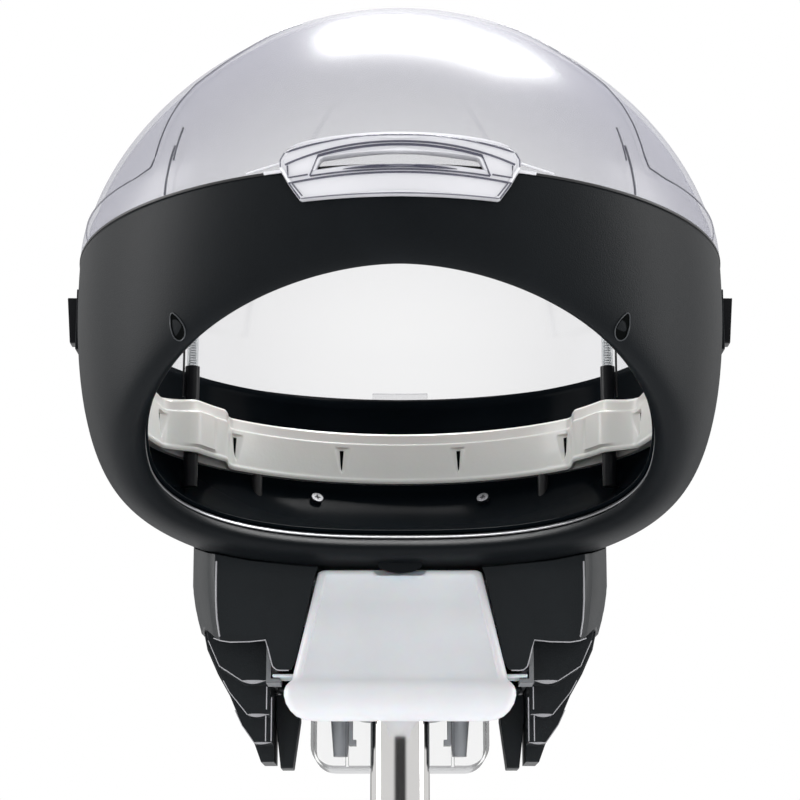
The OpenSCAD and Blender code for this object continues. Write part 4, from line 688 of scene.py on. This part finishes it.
def handle_skin():
    """Clear handle with its slot and flap, and fine dark lines of painted shade along its edges."""
    hull = [(-57.6, -20), (-30, -19.5), (0, -19.2), (30, -19.5), (57.6, -20),
            (64.5, -9.7), (68, -3.2), (70.3, 0.7), (70.2, 5)]
    hull += [(67.5 * math.cos(g), 9 + 7.2 * math.sin(g)) for g in np.radians(np.arange(0, 181, 7.5))]
    hull += [(-70.2, 5), (-70.3, 0.7), (-68, -3.2), (-64.5, -9.7)]
    hull = [np.array(p, float) for p in hull]
    slot = [(48.9, -3.4), (46.2, 3.2), (44.5, 4.4)]
    for k in range(1, 20):
        x = 44.5 - 4.45 * k
        slot.append((x, 4.4 + 2.2 * (1 - (x / 44.5) ** 2)))
    slot += [(-44.5, 4.4), (-46.2, 3.2), (-48.9, -3.4)]
    slot += [(-48.9 + 4.89 * k, -3.4 + 2.4 * (1 - (1 - k / 10) ** 2)) for k in range(1, 20)]
    slot = [np.array(p, float) for p in slot]
    # both outlines are met by the same rays, so that their points pair up
    o = np.array([0, 1.6])
    outer, inner = [], []
    for g in np.radians(np.arange(0, 360, 1.5)):
        d = np.array([66 * math.cos(g), 12 * math.sin(g)])
        outer.append(o + d * ray_hit(hull, o, d))
        inner.append(o + d * ray_hit(slot, o, d))
    outer, inner = np.array(outer), np.array(inner)
    gap = np.linalg.norm(outer - inner, axis=1, keepdims=True)
    step = (inner - outer) / gap
    # Each ring of points: from the outer or inner outline, or between them, how far in, and how deep
    rings = [(outer, 0, 7.5), (outer, 0, 0.9), (outer, 0.3, 0.3), (outer, 0.8, 0), (outer, 1.6, 0),
             (outer, 2.1, 0.5), (outer, 2.6, 1.1), (None, 0.4, 1.1), (None, 0.7, 1.1), (inner, -2.6, 1.1),
             (inner, -2.3, 0.4), (inner, -1.8, 0), (inner, -0.9, 0), (inner, -0.35, 0.3), (inner, 0, 0.9),
             (inner, 0, HANDLE_DEPTH), (None, 0.7, HANDLE_DEPTH), (None, 0.35, HANDLE_DEPTH)]
    P = []
    for base, off, depth in rings:
        q = outer + (inner - outer) * off if base is None else base + step * off
        z = q[:, 1] + (depth / HANDLE_DEPTH) ** 2 * 6 * smoothstep((q[:, 1] - 5) / 8)
        r = HANDLE_R - np.where((depth > 6) & (q[:, 1] < 1.6), 6.0, depth)
        P.append(np.stack([q[:, 0], HANDLE_Y - np.sqrt(r * r - q[:, 0] ** 2), z], -1))
    ob = torus_grid("handle_skin", np.stack(P, 1), "handle_clear", "dome", sharp=50)
    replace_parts(ob, "dome_handle")
    # dark lines of painted shade along the handle's top, rib, slot and flap, and short ones at its corners
    span = np.linspace(-1, 1, 41)
    lines = {
        "top": (66.5 * span, 9.2 + 7.0 * (1 - np.abs(span) ** 2.3), 0.5),
        "rib": (66.8 * span, 12.3 - 10.5 * np.abs(span) ** 2.2, 0.6),
        "slot_top": (47.5 * span, 10.4 - 5.0 * span ** 2, 0.75),
        "slot_shade": (33 * span, -2.6 - 1.2 * span ** 2, 1.0 - 0.85 * np.abs(span) ** 3),
        "slot_bottom": (52.0 * span, -4.6 - 2.0 * span ** 2, 0.5),
        "flap_top": (64.3 * span, -6.4 - 3.4 * span ** 2, 0.6),
        "flap_low": (57.0 * span, -19.0 - 0.8 * span ** 2, 0.4),
    }
    for name, (x, z, r) in lines.items():
        handle_shade_line("handle_shade_line_" + name, on_handle(x, z, -0.2), r)
    for sgn, side in ((-1, "left"), (1, "right")):
        for name, pts in HANDLE_CORNERS.items():
            q = np.array(pts)
            handle_shade_line("handle_%s_%s" % (name, side), on_handle(sgn * q[:, 0], q[:, 1], -0.1), 0.5)
        g = np.linspace(0.30, 0.375, 7)
        low = np.stack([sgn * (W + 0.6) * np.sin(g), -(D + 0.6) * np.cos(g), 1.0 + 0 * g], -1)
        tube("handle_lug_" + side, low, 1.1, "handle_clear", "dome")
        g = np.linspace(0.315, 0.43, 9)
        high = np.stack([sgn * (W + 0.4) * np.sin(g), -(D + 0.4) * np.cos(g), 6.5 - 34 * (g - 0.315)], -1)
        tube("handle_web_" + side, high, 0.7, "handle_clear", "dome")


handle_skin()

# Water tank with a raised border, a bulging lip and a finger dip at the top
TANK_BACK = 22.0
FINGER_HALF_W, FINGER_DEPTH = 17.0, 5.5
# Height, half width, front face and how deep the panel lies
TANK_LEVELS = [
    (-202.5, 52.5, -14.0, 0.0), (-203.6, 54.3, -15.3, 0.0), (-206.5, 55.0, -16.2, 0.1),
    (-208.5, 55.4, -16.8, 1.7), (-225, 58.9, -21.8, 2.2), (-250, 64.3, -29.5, 2.2),
    (-271, 68.8, -36.6, 2.2), (-275.2, 69.6, -37.9, 1.2), (-277.0, 70.4, -38.9, 0.2),
    (-278.6, 72.0, -40.4, 0.0), (-280.8, 73.6, -42.6, 0.0), (-283.6, 74.6, -44.4, 0.0),
    (-287, 74.6, -45.0, 0.0), (-292, 73.2, -44.6, 0.0), (-296.5, 70.4, -43.2, 0.0),
    (-300, 66.6, -40.6, 0.0), (-302, 62.5, -37.0, 0.0), (-303, 57.5, -32.0, 0.0),
]


def tank_loop(z, w, front, d):
    """Outline of the tank at one level, with the finger dip at its top."""
    edge = [(w - 4, TANK_BACK), (w - 1.2, TANK_BACK - 1.2), (w, TANK_BACK - 4), (w, front + 9),
            (w - 0.35, front + 5), (w - 1.3, front + 2.2), (w - 2.6, front + 0.7), (w - 4, front),
            (w - 5.4, front), (w - 6.0, front + 0.35 * d), (w - 6.8, front + d), (w - 9, front + d)]
    half = edge + [((w - 9) * q, front + d) for q in (0.8, 0.6, 0.4, 0.36, 0.3, 0.24, 0.16, 0.08)]
    pts = [(0, TANK_BACK)] + half + [(0, front + d)] + [(-x, y) for x, y in half[::-1]]
    out = []
    for x, y in pts:
        rise = 0.17 * max(0.0, y + 32) * (z < -290) * min(1.0, (-290 - z) / 8)
        dip = FINGER_DEPTH * math.sqrt(max(0.0, 1 - (x / FINGER_HALF_W) ** 2)) * (z > -204 and y < 0)
        out.append((x, y, z + rise - dip))
    return out


loops = np.array([tank_loop(*row) for row in TANK_LEVELS])
n, m = loops.shape[:2]
faces = [(i * m + j, i * m + (j + 1) % m, (i + 1) * m + (j + 1) % m, (i + 1) * m + j)
         for i in range(n - 1) for j in range(m)]
faces += [tuple(range(m)), tuple((n - 1) * m + j for j in range(m))]
tank = mesh_piece("tank_skin", G(loops.reshape(-1, 3)), faces, "tank_frost", "tank", sharp=50)
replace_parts(tank, "water_tank")
for sgn, side in ((-1, "left"), (1, "right")):
    soft_box("tank_runner_" + side, (sgn * 76.0, 8.5, -271.0), (16.0, 26.0, 2.5), "tank_frost", "tank")

# Small round tab under the hood's lower roll, over the tank's finger dip
tab = [(x, -200.2 - 4.5 * max(0.0, 1 - (x / 14.3) ** 2) ** 0.6) for x in np.linspace(-14.3, 14.3, 41)]
tab += [(14.3, -197.6), (-14.3, -197.6)]
plate("hood_tab", tab, -18.0, -16.4, "shell_black")

# Louvre steps: height, outer end and thickness of each lip, the blocks' size, and the edges as shares of it
LOUVRE_LIPS = ((-272.0, 105.6, 2.2), (-292.0, 103.6, 1.9), (-309.0, 100.6, 1.2))
LOUVRE_W, LOUVRE_TOP, LOUVRE_H = 136.5, -236, 84.5
LOUVRE_Y, LOUVRE_PITCH, LIP_END = 20, 28, 88.8
LOUVRE_SIDES = ((88.9, -276, -291), (89.3, -295, -312), (85.6, -283, -312))
LOUVRE_INSET = (0.044, 0.018, 0.004)
LOUVRE_OUTLINE = (((0.93, 0.308), (0.986, 0.107)),
                  ((0.867, 0.485), (0.9, 0.39)),
                  ((0.804, 0.722), (0.84, 0.6)))

# Lower tab of each wing, and light lines of painted highlight along the wing's edge and fold and along the
# louvre steps' lips, edges and sides
for sgn, side in ((-1, "left"), (1, "right")):
    tab = [(88.2, -246.5), (86.5, -254), (84.7, -261.3), (83.3, -265.6), (81, -267.6), (78.6, -267.9),
           (73, -267.9), (71.2, -267.2)]
    tab += [(56.2 + (z + 204) / -68.0 * 14.5, z) for z in (-262, -250, -235, -220, -206)]
    tab += [(72, -206), (88.2, -230)]
    plate("wing_tab_" + side, [(sgn * x, z) for x, z in tab], -10.5, -7.6, "housing_black")
    line = [(122.5, -247), (118, -248.6), (111.7, -249.6), (98.6, -249.3), (88.4, -248.2), (86.6, -254),
            (84.8, -261.3), (83.4, -265.6), (81, -267.7), (78.6, -268.1), (73, -268.1)]
    highlight_line("wing_edge_highlight_" + side, [(sgn * x, -10.6, z) for x, z in line], 0.42)
    line = [(121.6, -196), (121.6, -208.5), (121.4, -222), (120.6, -234), (118.6, -246)]
    highlight_line("wing_fold_highlight_" + side, [(sgn * x, -10.2, z) for x, z in line], 0.6)
    for k, (low, x_out, thick) in enumerate(LOUVRE_LIPS):
        y = LOUVRE_Y + LOUVRE_PITCH * k - 0.3
        # a light strip along each lip's lower edge: a painted highlight
        span = np.linspace(0, 1, 13)
        x = x_out + (LIP_END - x_out) * span
        bow = np.sin(math.pi * np.minimum(1, span * 1.15)) ** 0.8
        up = np.stack([sgn * x, y + 0 * x, low + 0.2 + 0.15 * thick * bow], -1)
        dn = np.stack([sgn * x, y + 0 * x, low - 0.2 - 0.85 * thick * bow], -1)
        verts = np.concatenate([up, dn])
        faces = [(q, q + 1, 14 + q, 13 + q) for q in range(12)]
        mesh_piece("louvre_lip_highlight_%s_%d" % (side, k), G(verts), faces, "housing_black", look="painted_edge_highlight")
        rise = [(x_out, low)]
        for ex, ez in LOUVRE_OUTLINE[k]:
            rise.append((LOUVRE_W * (ex - LOUVRE_INSET[k]), LOUVRE_TOP - LOUVRE_H * ez))
        highlight_line("louvre_edge_highlight_%s_%d" % (side, k), [(sgn * px, y + 0.3, pz) for px, pz in rise], 0.35)
    for k, (x, z0, z1) in enumerate(LOUVRE_SIDES):
        highlight_line("louvre_side_highlight_%s_%d" % (side, k), [(sgn * x, 19.6, z0), (sgn * x, 19.6, z1)], 0.35)

# Teardrop pockets in the lower shell, drawn as flat near-black sheets of painted shade laid just over it,
# each ringed by a lighter tube of painted highlight: centre as (x, z), half length and half width
POCKET_AT, POCKET_LONG, POCKET_WIDE = (-133.1, -81.4), 8.6, 4.3
for sgn, side in ((-1, "left"), (1, "right")):
    g = np.radians(np.arange(0, 360, 12))
    axis, across = np.array([0.37, -0.93]), np.array([0.93, 0.37])
    along, wide = -POCKET_LONG * np.cos(g), POCKET_WIDE * np.sin(g) * (0.88 - 0.34 * np.cos(g))
    flat = np.array(POCKET_AT) + along[:, None] * axis + wide[:, None] * across
    ph, t = np.meshgrid(np.radians(np.linspace(-56, -40, 121)), np.linspace(0.5, 0.88, 121), indexing="ij")
    skin_pts, skin_nor = shell(ph, t).reshape(-1, 3), normal(shell, ph, t).reshape(-1, 3)
    rim_pts = []
    for x, z in flat:
        k = np.argmin((skin_pts[:, 0] - x) ** 2 + (skin_pts[:, 2] - z) ** 2)
        rim_pts.append(skin_pts[k] - 0.35 * skin_nor[k])
    rim_pts = np.array(rim_pts) * np.array([-sgn, 1, 1])
    k = len(flat)
    mesh_piece("shell_pocket_" + side, G(rim_pts), [tuple(range(k))], "shell_black", look="hole_shade_black")
    loop = list(rim_pts) + [rim_pts[0]]
    tube("pocket_rim_highlight_" + side, loop, 0.4, "shell_black", "head", 6, "soft_edge_highlight")


# The CAD nodes that stay, and the width of their softened edges in metres, where it isn't the usual one
EDGE, WHEEL_EDGE, EDGE_ANGLE = 0.0008, 0.001, 28
fine = {
    "base_star": 0.002, "side_cover_left": 0.0007, "side_cover_right": 0.0007,
    "louvre_left": 0.0006, "louvre_right": 0.0006, "drip_cup": 0.0006, "hinge_arm": 0.0015,
    "hinge_leaf": 0.001, "rear_housing": 0.0006, "upper_tube": 0.0003, "hinge_pin": 0.0004,
    "control_board": 0.0002, "height_knob": 0.0012, "post_sleeves": 0.0004, "ozone_tubes": 0.0,
    "drain_spouts": 0.0006, "bowl_screws": 0.0004, "ozone_leads": 0.0, "timer_knob": 0.0012,
    "control_panel": 0.0012, "cup_hooks": 0.0004, "height_collar": 0.0012,
}
for name, ob in NODES.items():
    if not ob.hide_render:
        width = WHEEL_EDGE if name.startswith("castor_wheels") else EDGE
        dress(name, fine.get(name, width), look="screw_metal" if name == "bowl_screws" else None)


# Stage
def plane(name, verts, mat):
    """One flat face of the stage."""
    me = bpy.data.meshes.new(name)
    me.from_pydata(verts, [], [(0, 1, 2, 3)])
    ob = bpy.data.objects.new(name, me)
    bpy.context.scene.collection.objects.link(ob)
    me.materials.append(mat)


floor_mat = material("pale_floor", (0.86, 0.86, 0.87), 0.6, mottle=0.01)
FAR = 40
plane("floor", [(-FAR, -FAR, 0), (FAR, -FAR, 0), (FAR, FAR, 0), (-FAR, FAR, 0)], floor_mat)

world = bpy.data.worlds.new("studio")
bpy.context.scene.world = world
world.use_nodes = True
wt = world.node_tree
bg = wt.nodes["Background"]
geo = wt.nodes.new("ShaderNodeTexCoord")
xyz = wt.nodes.new("ShaderNodeSeparateXYZ")
wt.links.new(geo.outputs["Generated"], xyz.inputs["Vector"])
front = map_range(wt, (0.42, 1.0), (-1.0, 0.1), soft=True)
wt.links.new(xyz.outputs["Y"], front.inputs["Value"])
rays = wt.nodes.new("ShaderNodeLightPath")
seen = wt.nodes.new("ShaderNodeMath")
seen.operation = "MAXIMUM"
# What shines sees a narrow dark strip in front and dark flags behind
strip = map_range(wt, (0.05, 0.8), (-0.97, -0.86), soft=True)
flag = map_range(wt, (1.0, 0.12), (0.82, 0.96), soft=True)
both = wt.nodes.new("ShaderNodeMath")
both.operation = "MULTIPLY"
mixed = wt.nodes.new("ShaderNodeMix")
wt.links.new(xyz.outputs["Y"], strip.inputs["Value"])
wt.links.new(xyz.outputs["Y"], flag.inputs["Value"])
wt.links.new(strip.outputs["Result"], both.inputs[0])
wt.links.new(flag.outputs["Result"], both.inputs[1])
wt.links.new(rays.outputs["Is Glossy Ray"], mixed.inputs[0])
wt.links.new(front.outputs["Result"], mixed.inputs[2])
wt.links.new(both.outputs["Value"], mixed.inputs[3])
wt.links.new(mixed.outputs[0], seen.inputs[0])
wt.links.new(rays.outputs["Is Camera Ray"], seen.inputs[1])
wt.links.new(seen.outputs["Value"], bg.inputs["Strength"])
bg.inputs["Color"].default_value = (1, 1, 1, 1)
bpy.context.scene.view_settings.view_transform = "Standard"


def area(name, loc, target, size, power, size_y):
    """Lamp with a rectangular face."""
    li = bpy.data.lights.new(name, "AREA")
    li.energy, li.size = power, size
    li.shape, li.size_y = "RECTANGLE", size_y
    ob = bpy.data.objects.new(name, li)
    ob.location = loc
    d = Vector(target) - Vector(loc)
    ob.rotation_euler = d.to_track_quat("-Z", "Y").to_euler()
    bpy.context.scene.collection.objects.link(ob)
    return ob


# Each lamp: place, aim, width, watts and height
AIM = (0, 0, 1.3)
area("key_left", (-1.9, 0.1, 1.8), AIM, 0.7, 17, 1.5)
area("fill_right", (1.9, 0.1, 1.8), AIM, 0.7, 13, 1.5)
area("top", (0.16, 0.42, 2.85), (0, -0.2, 1.5), 1.0, 40, 0.55)
front_lamp = area("front", (0.0, -1.9, 1.2), (0, -0.2, 1.2), 1.2, 9, 0.8)
front_lamp.visible_glossy = False
